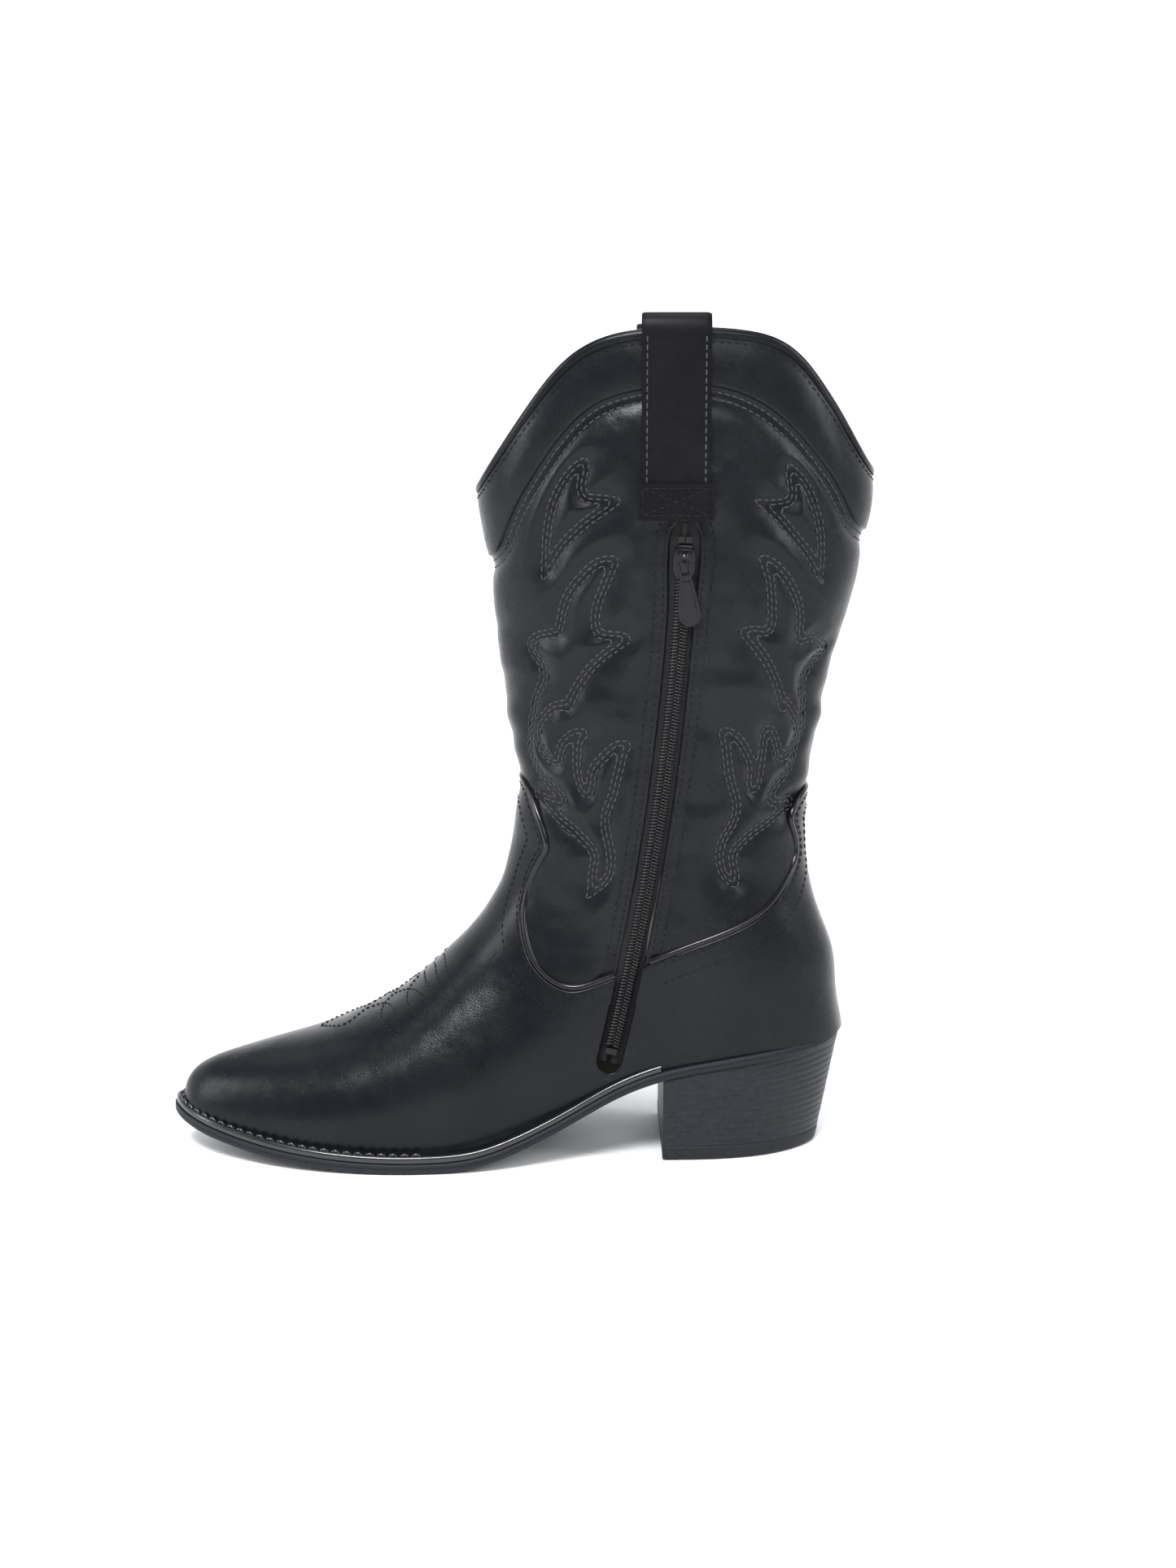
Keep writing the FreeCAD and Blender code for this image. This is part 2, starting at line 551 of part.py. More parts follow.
def write_slider():
    """The slider with its bridge, and the puller that hangs from the bridge."""
    long = SLIDER_UP - SLIDER_DOWN
    plan = [Vector(-SLIDER_HALF + 1.2, SLIDER_DOWN, 0), Vector(SLIDER_HALF - 1.2, SLIDER_DOWN, 0),
            Vector(SLIDER_HALF, SLIDER_DOWN + 3, 0), Vector(SLIDER_HALF, SLIDER_UP - 1.2, 0),
            Vector(SLIDER_HALF - 1.2, SLIDER_UP, 0), Vector(-SLIDER_HALF + 1.2, SLIDER_UP, 0),
            Vector(-SLIDER_HALF, SLIDER_UP - 1.2, 0), Vector(-SLIDER_HALF, SLIDER_DOWN + 3, 0)]
    face = Part.Face(Part.makePolygon(plan + plan[:1]))
    full = face.extrude(Vector(0, 0, PLATE_HIGH - FLANGE_LOW))
    full.translate(Vector(0, 0, FLANGE_LOW))
    channel = Part.makeBox(2 * (SLIDER_HALF - 0.85), long, PLATE_LOW - FLANGE_LOW,
                           Vector(-SLIDER_HALF + 0.85, SLIDER_DOWN, FLANGE_LOW))
    top = full.cut(channel)
    base = face.extrude(Vector(0, 0, BASE_HIGH - BASE_LOW))
    base.translate(Vector(0, 0, BASE_LOW))
    neck = Part.makeBox(2 * BRIDGE_HALF, SLIDER_UP - 3.6, PLATE_HIGH - BASE_LOW,
                        Vector(-BRIDGE_HALF, 3.2, BASE_LOW))
    roof = PULLER_AXIS_OUT + 1.9
    bridge = Part.makeBox(2 * BRIDGE_HALF, 5.0, roof - PLATE_LOW,
                          Vector(-BRIDGE_HALF, PULLER_AXIS_UP - 2.1, PLATE_LOW))
    hole = Part.makeBox(4 * BRIDGE_HALF, 2.8, PULLER_AXIS_OUT + 1.05 - PLATE_HIGH,
                        Vector(-2 * BRIDGE_HALF, PULLER_AXIS_UP - 1.0, PLATE_HIGH))
    rounded = bridge.makeFillet(0.7, [e for e in bridge.Edges
                                      if abs(e.BoundBox.ZMin - roof) < 1e-6
                                      and e.BoundBox.XLength > BRIDGE_HALF])
    slider = top.fuse([base, neck, rounded]).cut(hole).removeSplitter()
    keep("zip_slider", placed(slider, 0.0))

    bar = Part.makeCylinder(PULLER_BAR / 2, 4.6, Vector(-2.3, 0, 0), Vector(1, 0, 0))
    arm = Part.makeBox(0.9, 6.0, PULLER_THICK, Vector(1.4, -6.0, -PULLER_THICK / 2))
    other = Part.makeBox(0.9, 6.0, PULLER_THICK, Vector(-2.3, -6.0, -PULLER_THICK / 2))
    half_top = PULLER_TOP_WIDE / 2
    half_end = PULLER_END_WIDE / 2
    end = -PULLER_LONG + half_end
    sides = Part.Wire([
        Part.makeLine(Vector(-half_top, -4.4, 0), Vector(half_top, -4.4, 0)),
        Part.makeLine(Vector(half_top, -4.4, 0), Vector(half_end, end, 0)),
        Part.Arc(Vector(half_end, end, 0), Vector(0, -PULLER_LONG, 0),
                 Vector(-half_end, end, 0)).toShape(),
        Part.makeLine(Vector(-half_end, end, 0), Vector(-half_top, -4.4, 0))])
    plate = Part.Face(sides).extrude(Vector(0, 0, PULLER_THICK))
    plate.translate(Vector(0, 0, -PULLER_THICK / 2))
    puller = bar.fuse([arm, other, plate]).removeSplitter()
    puller.rotate(Vector(0, 0, 0), Vector(1, 0, 0), -PULLER_LEAN)
    puller.rotate(Vector(0, 0, 0), Vector(0, 0, 1), PULLER_TILT)
    puller.translate(Vector(0, PULLER_AXIS_UP, PULLER_AXIS_OUT))
    keep("zip_puller", placed(puller, 0.0))


def ribbon(path, thick, x_from, x_to):
    """A strap of even thickness along a path of y, z points."""
    curve = Part.BSplineCurve()
    curve.interpolate([Vector(x_from, y, z) for y, z in path])
    left = []
    right = []
    count = 60
    for i in range(count + 1):
        t = curve.FirstParameter + (curve.LastParameter - curve.FirstParameter) * i / count
        point = curve.value(t)
        tangent = curve.tangent(t)[0]
        across = Vector(0, -tangent.z, tangent.y) * (thick / 2)
        left.append(point + across)
        right.append(point - across)
    face = Part.Face(closed_wire([left, backwards(right)]))
    return face.extrude(Vector(x_to - x_from, 0, 0))


def write_strap(name, sign):
    """One pull strap over the collar, and the stitched patch on its outer end."""
    middle = (STRAP_FRONT + STRAP_BACK) / 2
    half = STRAP_THICK / 2
    out = BINDING_OUT + STRAP_AIR + half
    path = []
    for z in (STRAP_LOW_OUT, 268, 280, 292, 304, 314, 321, 326):
        path.append((abs(face_point(middle, z, 0.0, sign).y) + out, z))
    collar = path[-1][0]
    narrow = min(abs(face_point(x, z, 0.0, sign).y)
                 for x in (STRAP_FRONT, middle, STRAP_BACK) for z in (300, 322))
    inner = narrow + BINDING_IN - STRAP_AIR - half
    crown = (collar + inner) / 2
    top = STRAP_TOP - half
    path += [(collar - 0.1, top - 2.2), (crown, top), (inner + 0.1, top - 2.2)]
    path += [(inner, z) for z in (326, 321, 310, 297, STRAP_LOW_IN)]
    path = [(sign * y, z) for y, z in path]
    keep("pull_strap_" + name, ribbon(path, STRAP_THICK, STRAP_FRONT, STRAP_BACK))
    patch = []
    for z in (PATCH_LOW, 261, 266, PATCH_HIGH):
        face = abs(face_point(middle, z, 0.0, sign).y)
        patch.append((sign * (face + out + half + GAP + PATCH_THICK / 2), z))
    keep("strap_patch_" + name, ribbon(patch, PATCH_THICK, STRAP_FRONT - PATCH_SIDE,
                                       STRAP_BACK + PATCH_SIDE))


def write_sole():
    """Outsole, welt, thread, filler, insole board, shank and sock."""
    outline = column([SOLE_INNER, SOLE_OUTER])
    top_line = raised(UNDERSIDE, OUTSOLE_THICK)
    screw = Part.makeCylinder(SCREW_DIAMETER / 2 + GAP, 60, Vector(SCREW_X, 0, SCREW_BOTTOM - GAP))
    outsole = outline.common(region(UNDERSIDE, backwards(top_line)))
    keep("outsole", outsole.cut(screw))
    welt = inset_column(WELT_INSET).common(region(raised(top_line, GAP),
                                                  backwards(raised(FEATHER, 0.0))))
    welt = welt.common(Part.makeBox(300, 200, 100, Vector(WELT_END - 300, -100, -10)))
    keep("welt", welt.cut(inside(WELT_INNER_EDGE)))
    thread = inset_column(THREAD_FROM_EDGE).cut(inset_column(THREAD_FROM_EDGE + THREAD_WIDE))
    thread = thread.common(region(raised(FEATHER, GAP), backwards(raised(FEATHER, THREAD_HIGH))))
    thread = thread.common(Part.makeBox(300, 200, 100, Vector(20 - 300, -100, -10)))
    keep("welt_thread", thread.cut(inside(FOOT_LEATHER + THREAD_AIR)))
    filler = inside(WELT_INNER_EDGE - GAP).common(region(raised(top_line, GAP),
                                                         backwards(raised(FEATHER, 0.0))))
    keep("bottom_filler", filler.common(Part.makeBox(400, 200, 100, Vector(-356, -100, -10))))
    within = inside(FOOT_LINING_IN - GAP)
    board = within.common(region(raised(FEATHER, 2 * GAP),
                                 backwards(raised(FEATHER, INSOLE_THICK))))
    steel = region(raised(FEATHER, 3 * GAP), backwards(raised(FEATHER, SHANK_THICK)),
                   y_from=-SHANK_HALF, y_to=SHANK_HALF)
    hole = Part.makeCylinder(SCREW_DIAMETER / 2 + 2, 90, Vector(SCREW_X, 0, 0))
    steel = steel.common(Part.makeBox(SHANK_BACK - SHANK_FRONT, 60, 200,
                                      Vector(SHANK_FRONT, -30, -50))).cut(hole)
    room = region(FEATHER, backwards(raised(FEATHER, SHANK_THICK + GAP)),
                  y_from=-SHANK_HALF - GAP, y_to=SHANK_HALF + GAP)
    room = room.common(Part.makeBox(SHANK_BACK - SHANK_FRONT + 2 * GAP, 60, 200,
                                    Vector(SHANK_FRONT - GAP, -30, -50)))
    keep("shank", steel)
    keep("insole_board", board.cut(room).cut(screw))
    low = INSOLE_THICK + GAP
    keep("sock_liner", within.common(region(raised(FEATHER, low),
                                            backwards(raised(FEATHER, low + SOCK_THICK)))))


def inset_column(distance):
    """The sole outline moved inwards."""
    points = [Vector(x, y, -20) for x, y in SOLE_INNER + SOLE_OUTER]
    curve = Part.BSplineCurve()
    curve.interpolate(Points=points, PeriodicFlag=True)
    moved = []
    count = 96
    for i in range(count):
        t = curve.FirstParameter + (curve.LastParameter - curve.FirstParameter) * i / count
        tangent = curve.tangent(t)[0]
        moved.append(curve.value(t) + Vector(-tangent.y, tangent.x, 0) * distance)
    ring = Part.BSplineCurve()
    ring.interpolate(Points=moved, PeriodicFlag=True)
    return Part.Face(Part.Wire([ring.toShape()])).extrude(Vector(0, 0, 110))


def heel_outline(back, half, z):
    """A rounded heel plan with a straight breast."""
    breast = HEEL_BREAST
    long = back - breast
    half_curve = [(0.0, 1.0), (0.3, 0.97), (0.55, 0.87), (0.75, 0.68), (0.9, 0.42)]
    side = [Vector(breast + long * f, -half * w, z) for f, w in half_curve]
    other = [Vector(breast + long * f, half * w, z) for f, w in reversed(half_curve)]
    curve = Part.BSplineCurve()
    curve.interpolate(side + [Vector(back, 0, z)] + other)
    return Part.Wire([curve.toShape(), Part.makeLine(other[-1], side[0])])


def write_heel():
    """Stacked heel block, top lift, screw and nails."""
    whole = Part.makeLoft([heel_outline(HEEL_BOTTOM_BACK, HEEL_BOTTOM_HALF, 0.0),
                           heel_outline(HEEL_TOP_BACK, HEEL_TOP_HALF, HEEL_TOP_Z)], True)
    under_sole = region(raised(UNDERSIDE, -GAP), [(137, -60), (-146, -60)])
    block = whole.common(under_sole)
    lift = block.common(Part.makeBox(200, 200, TOP_LIFT, Vector(0, -100, 0)))
    block = block.common(Part.makeBox(200, 200, 100, Vector(0, -100, TOP_LIFT + GAP)))
    screw = Part.makeCylinder(SCREW_DIAMETER / 2, SCREW_TOP - SCREW_BOTTOM,
                              Vector(SCREW_X, 0, SCREW_BOTTOM))
    wide_screw = Part.makeCylinder(SCREW_DIAMETER / 2 + GAP, 60,
                                   Vector(SCREW_X, 0, SCREW_BOTTOM - GAP))
    block = block.cut(wide_screw)
    for number, (x, y) in enumerate(NAIL_SPOTS, 1):
        nail = Part.makeCylinder(NAIL_DIAMETER / 2, NAIL_TOP - NAIL_BOTTOM,
                                 Vector(x, y, NAIL_BOTTOM))
        room = Part.makeCylinder(NAIL_DIAMETER / 2 + GAP, NAIL_TOP - NAIL_BOTTOM + 2 * GAP,
                                 Vector(x, y, NAIL_BOTTOM - GAP))
        block = block.cut(room)
        lift = lift.cut(room)
        keep("heel_nail_" + str(number), nail)
    keep("heel_block", block)
    keep("heel_top_lift", lift)
    keep("heel_screw", screw)


os.makedirs("parts", exist_ok=True)
write_foot()
write_shaft()
write_zip()
write_slider()
write_strap("medial", -1)
write_strap("lateral", 1)
write_sole()
write_heel()
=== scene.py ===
import json
import math

import bmesh
import bpy
import numpy as np
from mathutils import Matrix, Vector
from mathutils.kdtree import KDTree


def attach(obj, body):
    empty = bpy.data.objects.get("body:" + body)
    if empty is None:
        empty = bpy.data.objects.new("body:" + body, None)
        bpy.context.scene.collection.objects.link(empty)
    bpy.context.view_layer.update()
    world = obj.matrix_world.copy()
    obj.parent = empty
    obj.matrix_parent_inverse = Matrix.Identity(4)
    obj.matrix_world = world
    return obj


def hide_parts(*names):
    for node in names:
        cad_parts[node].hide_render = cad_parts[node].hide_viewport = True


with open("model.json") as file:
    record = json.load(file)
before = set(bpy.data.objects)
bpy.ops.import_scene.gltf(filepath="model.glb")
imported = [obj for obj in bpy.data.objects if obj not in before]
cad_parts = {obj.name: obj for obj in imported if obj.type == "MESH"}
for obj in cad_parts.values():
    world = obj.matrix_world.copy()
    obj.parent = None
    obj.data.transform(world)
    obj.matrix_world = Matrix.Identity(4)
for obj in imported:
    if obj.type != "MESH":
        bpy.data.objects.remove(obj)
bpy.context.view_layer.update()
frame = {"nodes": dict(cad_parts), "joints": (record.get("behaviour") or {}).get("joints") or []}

# Lengths are in millimetres here, and become metres when a mesh is made.
MM = 0.001

# Cross-sections of the face the leather lies on, from the toe to the collar, as in the
# CAD source: front x, front z, back x, back z, half width, centre y, share of the depth
# in front of the widest place, roundness in front, roundness behind, and a last value
# that only the CAD source uses
SECTIONS = [
    (-135.6, 21.5, -135.6, 11.0, 2.2, -5.6, 0.50, 2.0, 2.0, 1.0),
    (-134.6, 25.5, -134.8, 4.0, 6.2, -5.5, 0.52, 2.0, 2.4, 0.95),
    (-132.0, 29.3, -132.4, 0.0, 10.5, -5.4, 0.54, 2.0, 2.8, 0.7),
    (-126.0, 33.3, -126.0, -2.0, 16.0, -5.0, 0.57, 2.0, 3.2, 0.4),
    (-115.0, 37.0, -115.0, -4.0, 22.5, -4.2, 0.58, 2.0, 3.5, 0.15),
    (-98.0, 41.5, -98.0, -5.0, 30.0, -3.0, 0.60, 2.0, 3.5, 0.0),
    (-78.0, 47.0, -76.0, -6.0, 36.5, -1.5, 0.60, 2.0, 3.5, 0.0),
    (-58.0, 55.5, -54.0, -8.0, 40.5, 0.0, 0.60, 2.0, 3.5, 0.0),
    (-42.0, 65.5, -30.0, -8.0, 41.5, 0.5, 0.60, 2.0, 3.3, 0.0),
    (-28.0, 78.0, 0.0, -4.0, 39.5, 1.2, 0.58, 2.0, 3.0, 0.0),
    (-16.5, 90.0, 38.0, 6.0, 36.0, 1.2, 0.55, 2.0, 2.8, 0.0),
    (-9.5, 100.0, 75.0, 16.0, 34.3, 1.0, 0.52, 2.1, 2.6, 0.0),
    (-5.0, 108.5, 108.0, 22.0, 34.0, 0.6, 0.50, 2.1, 2.5, 0.0),
    (-2.8, 115.0, 131.0, 38.0, 34.2, 0.3, 0.50, 2.1, 2.4, 0.0),
    (-1.2, 121.0, 129.5, 62.0, 34.2, 0.0, 0.50, 2.1, 2.4, 0.0),
    (0.0, 127.0, 127.5, 80.0, 34.0, 0.0, 0.48, 2.1, 2.3, 0.0),
    (1.0, 134.0, 121.5, 97.0, 34.2, 0.0, 0.46, 2.1, 2.2, 0.0),
    (2.0, 141.0, 117.0, 114.0, 34.3, 0.0, 0.48, 2.1, 2.1, 0.0),
    (3.3, 149.0, 115.6, 132.0, 34.8, 0.0, 0.50, 2.1, 2.1, 0.0),
    (2.2, 158.0, 116.3, 150.0, 35.4, 0.0, 0.50, 2.1, 2.1, 0.0),
    (-0.6, 170.0, 118.8, 167.0, 36.2, 0.0, 0.50, 2.1, 2.1, 0.0),
    (-3.0, 187.0, 122.3, 187.0, 37.7, 0.0, 0.50, 2.1, 2.1, 0.0),
    (-5.0, 207.0, 127.0, 207.0, 39.4, 0.0, 0.50, 2.1, 2.1, 0.0),
    (-7.5, 227.0, 133.0, 227.0, 41.2, 0.0, 0.50, 2.1, 2.1, 0.0),
    (-10.5, 247.0, 137.5, 247.0, 42.8, 0.0, 0.50, 2.1, 2.1, 0.0),
    (-14.0, 267.0, 140.3, 267.0, 43.3, 0.0, 0.50, 2.1, 2.1, 0.0),
    (-15.0, 287.0, 140.0, 287.0, 43.0, 0.0, 0.50, 2.1, 2.1, 0.0),
    (-14.0, 310.0, 138.0, 310.0, 42.8, 0.0, 0.50, 2.1, 2.1, 0.0),
    (-12.0, 340.0, 136.0, 340.0, 42.5, 0.0, 0.50, 2.1, 2.1, 0.0),
]
# Edges seen from the side, and other sizes, as in the CAD source
VAMP_TOP = [(-1, 153.2), (3, 152), (7, 145), (11, 134), (13, 127)]
VAMP_TOP_LOW = [(13, 127), (9, 120), (5, 109), (3, 99), (4, 89), (7, 81), (14, 74), (22, 71),
                (31, 73), (42, 77.5)]
COUNTER_TOP = [(52, 81.5), (60, 85), (70, 89), (86, 95), (101, 104), (108, 113), (112, 122),
               (111, 132), (109, 138)]
COUNTER_TOP_BACK = [(109, 138), (111.5, 143), (115, 147), (121, 149)]
COLLAR_SEAM = [(-22, 236), (-14, 238), (-7, 243), (-1, 256), (7, 271), (19, 288), (31, 299),
               (50, 305), (76, 306), (92, 301), (106, 291), (117, 279), (127, 265), (133, 255),
               (141, 250), (148, 248)]
COLLAR_EDGE = [(-22, 264), (-16, 266.5), (-11.6, 272), (-2.3, 286), (6.9, 299), (16, 310.5),
               (25, 318.5), (34, 323), (45, 325.6), (62, 326.6), (78, 326.6), (89, 325.6),
               (98, 323.6), (107, 318.6), (116, 309), (126, 295), (134, 282.5), (140.5, 275),
               (149, 271)]
LINING_SPLIT = [(-60, 112), (-2, 104), (14, 84), (30, 80), (50, 84), (75, 92), (100, 102),
                (118, 112), (145, 116)]
SHAFT_FRONT_LOW = [(-50, 90), (-6, 82), (8, 66), (22, 60), (70, 62)]
SHAFT_BACK_LOW = [(30, 64), (50, 70), (70, 76), (95, 84), (120, 92), (145, 97)]
UNDERSIDE = [(-146, 15.8), (-136, 12), (-122, 8.3), (-101, 4.3), (-75, 1.2), (-54, 0), (-32, 0),
             (-17, 1.4), (2, 7.6), (22, 17.3), (41, 27.4), (58, 33.6), (75, 37.2), (95, 40.4),
             (115, 43.2), (137, 45.6)]
FEATHER = [(-146, 22.6), (-136, 18.8), (-122, 15.2), (-101, 11.2), (-75, 8.2), (-54, 7.2),
           (-32, 7.4), (-17, 8.8), (2, 14.2), (22, 22.7), (41, 31.9), (58, 37.9), (75, 41.4),
           (95, 44.6), (115, 47.4), (137, 49.8)]
SOLE_INNER = [(-141.4, -5.5), (-139.6, -12.5), (-135, -19), (-126, -26.8), (-114, -33.4),
              (-98, -39.8), (-78, -44.8), (-56, -47.3), (-33, -47), (-5, -44), (28, -38.4),
              (58, -35), (80, -34), (100, -31.8), (115, -26.8), (126, -17.6), (132.2, -3)]
SOLE_OUTER = [(132.2, 3), (126, 17.6), (115, 27.2), (100, 32.4), (80, 35.2), (58, 37),
              (28, 40.6), (-5, 46.2), (-33, 48), (-56, 47.4), (-78, 42.6), (-98, 35),
              (-114, 25.8), (-126, 17), (-135, 7.8), (-139.6, 1.5)]
GAP = 0.05
FOOT_LEATHER = 1.8
COLLAR_STEP = 0.9
LINING_OUT = -2.6
LINING_IN = -3.3
OUTSOLE_THICK = 4.0
WELT_END = 58.0
HEEL_BREAST = 59.0
HEEL_BOTTOM_BACK = 123.4
HEEL_TOP_BACK = 133.2
HEEL_TOP_Z = 50.0
HEEL_BOTTOM_HALF = 30.0
HEEL_TOP_HALF = 35.0
TOP_LIFT = 5.5
TRACK_TOP = (65.4, 241.5)
TRACK_DEPTH = 0.9
SLOT_TOP = 255.5
SLOT_BOTTOM = 37.5
SLIDER_UP = 6.0
SLIDER_DOWN = -7.0
PULLER_AXIS_UP = -1.1
PULLER_AXIS_OUT = 3.4
PULLER_LONG = 24.0
PULLER_END_WIDE = 8.7
PULLER_TILT = 9.0
STRAP_FRONT = 49.0
STRAP_BACK = 75.0
STRAP_THICK = 1.5
STRAP_LOW_OUT = 258.0
STRAP_LOW_IN = 284.0
STRAP_TOP = 333.4
PATCH_LOW = 256.6
PATCH_HIGH = 270.4
PATCH_THICK = 1.2
PATCH_SIDE = 1.4
SIDE_STRIP_HALF = 4.0
# Embroidery seen on the flattened panels: distance round the leg from the front
# (or back) middle line, and height.  Each outline is a ring of smooth strokes.
EMBROIDERY = {
    "front_leaf": [
        [(64, 281), (57.5, 277.5), (53, 273), (49, 267.5), (45.5, 261.5), (42.5, 254.5),
         (38.5, 241), (37, 232)],
        [(37, 232), (44.5, 239.5), (49.5, 245.5), (54.5, 249.5), (60.5, 254), (67, 258),
         (77, 264.5)],
        [(77, 264.5), (71.5, 265.5), (61.5, 266)],
        [(61.5, 266), (62, 271), (63.5, 275), (64, 281)],
    ],
    "front_flame": [
        [(71.5, 243), (61.5, 242), (55, 237.5), (48.5, 231.5), (43, 223.5), (39.5, 214)],
        [(39.5, 214), (31.5, 213), (24, 209)],
        [(24, 209), (26.5, 203), (30, 198.5), (30, 195.5), (26, 190), (21.5, 180.5),
         (17.5, 171.5), (15, 163), (17, 157), (22, 151.5), (30, 146)],
        [(30, 146), (23, 147.5), (13.5, 149)],
        [(13.5, 149), (19, 144.5), (24.5, 141), (30.5, 137), (37, 133.5), (42.5, 129),
         (46.5, 125), (45.5, 118.5), (46.5, 111.5), (46, 105.5)],
        [(46, 105.5), (50, 110), (54.5, 114), (56, 117.5), (56.5, 123.5), (55, 129),
         (52.5, 135), (51, 140.5), (52, 145), (54.5, 150), (56.5, 155.5), (59, 160.5),
         (61.5, 166.5), (65.5, 170.5)],
        [(65.5, 170.5), (60, 171.5), (55, 169.5), (51, 166), (46, 162), (41.5, 150.5)],
        [(41.5, 150.5), (40.5, 158), (42.5, 166), (45, 171.5), (49, 174.5), (46.5, 175.5),
         (42.5, 175.5), (38, 173.5), (34.5, 170.5), (31.5, 167), (30.5, 163)],
        [(30.5, 163), (26.5, 164), (24.5, 169), (26, 174.5), (29.5, 178), (35.5, 182.5),
         (39.5, 182.5), (41, 180)],
        [(41, 180), (43, 185), (46.5, 190.5), (50.5, 195.5), (55.5, 200.5), (61.5, 205),
         (67, 208.5), (71.5, 211.5)],
        [(71.5, 211.5), (68, 213.5), (63.5, 214), (58, 214)],
        [(58, 214), (58.5, 219), (60.5, 224.5), (64, 230.5), (67.5, 236.5), (71.5, 243)],
    ],
    "back_leaf": [
        [(55.5, 279), (51.5, 275.5), (47, 271.5), (43.5, 266), (40, 260), (37, 253.5),
         (33, 241), (30.5, 230)],
        [(30.5, 230), (37.5, 237), (45, 244.5), (51, 249.5), (58, 256), (64, 260.5),
         (70.5, 264.5)],
        [(70.5, 264.5), (58.5, 264), (54, 264.5)],
        [(54, 264.5), (55, 269.5), (56, 275.5), (55.5, 279)],
    ],
    "back_flame": [
        [(64, 244), (59, 243), (52.5, 239.5), (46, 234), (41, 228.5), (36, 221.5), (32, 210.5)],
        [(32, 210.5), (30.5, 212), (21.5, 210.5), (11, 206)],
        [(11, 206), (16, 202), (21.5, 198), (23, 192.5), (19.5, 186), (18.5, 179), (15.5, 174),
         (17, 170), (19.5, 165.5), (18.5, 160), (22, 155), (26, 151.5), (29.5, 147)],
        [(29.5, 147), (22.5, 146.5), (18, 147.5)],
        [(18, 147.5), (15.5, 143.5), (22, 140.5), (30, 136), (37, 132.5), (41.5, 129),
         (45.5, 124.5), (45, 119), (48.5, 111)],
        [(48.5, 111), (52, 114), (54, 117), (54.5, 122.5), (53.5, 128.5), (51.5, 133.5),
         (48.5, 138), (46.5, 144.5), (48.5, 150.5), (51.5, 157.5), (53.5, 163.5), (55.5, 170),
         (59, 176)],
        [(59, 176), (54.5, 176.5), (50, 174.5), (46, 171), (42.5, 166.5), (39.5, 162),
         (38.5, 152.5)],
        [(38.5, 152.5), (39, 165.5), (39.5, 171.5), (39.5, 175.5), (37.5, 177), (34, 175.5),
         (31, 171.5), (29, 168), (27.5, 164)],
        [(27.5, 164), (24.5, 166.5), (22, 170.5), (23, 175.5), (26.5, 178.5), (31.5, 183.5),
         (32.5, 179.5)],
        [(32.5, 179.5), (35, 185.5), (40, 193), (45.5, 200), (52.5, 206.5), (57.5, 210.5),
         (62.5, 214.5)],
        [(62.5, 214.5), (57, 216), (49.5, 214.5)],
        [(49.5, 214.5), (50.5, 217.5), (54, 226.5), (58, 235.5), (64, 244)],
    ],
}
# Wrinkle stitching over the toes: place along the boot, distance from the ridge
VAMP_STROKES = [
    [(-29, 2), (-28, 10), (-26.5, 19), (-24, 27), (-21, 35)],
    [(-33, 2), (-32, 8), (-31, 16), (-28, 25), (-24.5, 34)],
    [(-37, 2), (-36.5, 8), (-35, 16), (-32, 25), (-28.5, 33.5)],
    [(-39, 2), (-42.5, 6.5), (-43.5, 15), (-41, 24), (-35.5, 32.5)],
    [(-35.5, 32.5), (-35, 27), (-37, 19), (-41, 11.5), (-46, 5), (-50, 2)],
    [(-50, 2), (-53, 6.5), (-54.5, 13), (-52.5, 22), (-45.5, 32.5)],
    [(-45.5, 32.5), (-46, 26), (-48.5, 17), (-52, 9), (-57, 4), (-62, 2.5)],
    [(-62, 2.5), (-66, 7), (-69.5, 9), (-75, 6), (-81, 0)],
]


# ---------------------------------------------------------------- numbers
def natural(t, y, at):
    """Values at `at` of the natural cubic spline through (t, y)."""
    t = np.asarray(t, float)
    y = np.asarray(y, float)
    n = len(t)
    h = np.diff(t)
    m = np.eye(n)
    r = np.zeros_like(y)
    slope = np.diff(y, axis=0) / h.reshape(-1, *[1] * (y.ndim - 1))
    for i in range(1, n - 1):
        m[i, i - 1:i + 2] = h[i - 1], 2 * (h[i - 1] + h[i]), h[i]
        r[i] = 6 * (slope[i] - slope[i - 1])
    k = np.linalg.solve(m, r.reshape(n, -1)).reshape(y.shape)
    i = np.clip(np.searchsorted(t, at) - 1, 0, n - 2)
    shape = (-1, *[1] * (y.ndim - 1))
    step = h[i].reshape(shape)
    a = (t[i + 1] - at).reshape(shape) / step
    b = 1 - a
    bend = (a ** 3 - a) * k[i] + (b ** 3 - b) * k[i + 1]
    return a * y[i] + b * y[i + 1] + bend * step ** 2 / 6


def travelled(line):
    """Distance along a line at each of its points."""
    return np.concatenate([[0], np.cumsum(np.linalg.norm(np.diff(line, axis=0), axis=1))])


def stroke(points, spacing=1.5):
    """A smooth line through points, as evenly spaced points."""
    points = np.asarray(points, float)
    t = travelled(points)
    count = max(2, int(t[-1] / spacing) + 1)
    at = np.linspace(0, t[-1], count)
    if len(points) == 2:
        return points[0] + (points[1] - points[0]) * at[:, None] / t[-1]
    return natural(t, points, at)


def ring_of(*chains, spacing=1.5):
    """Smooth chains joined end to end into one closed outline."""
    return np.concatenate([stroke(c, spacing) if len(c) > 2 else np.asarray(c, float)
                           for c in chains])


def evened_flat(line, spacing):
    """A flat line resampled at even spacing."""
    t = travelled(line)
    at = np.linspace(0, t[-1], int(t[-1] / spacing) + 1)
    return np.stack([np.interp(at, t, column) for column in np.asarray(line).T], 1)


def tree_of(spots):
    """A search tree over places, which gives back their numbers."""
    tree = KDTree(len(spots))
    for number, spot in enumerate(spots):
        tree.insert(spot, number)
    tree.balance()
    return tree


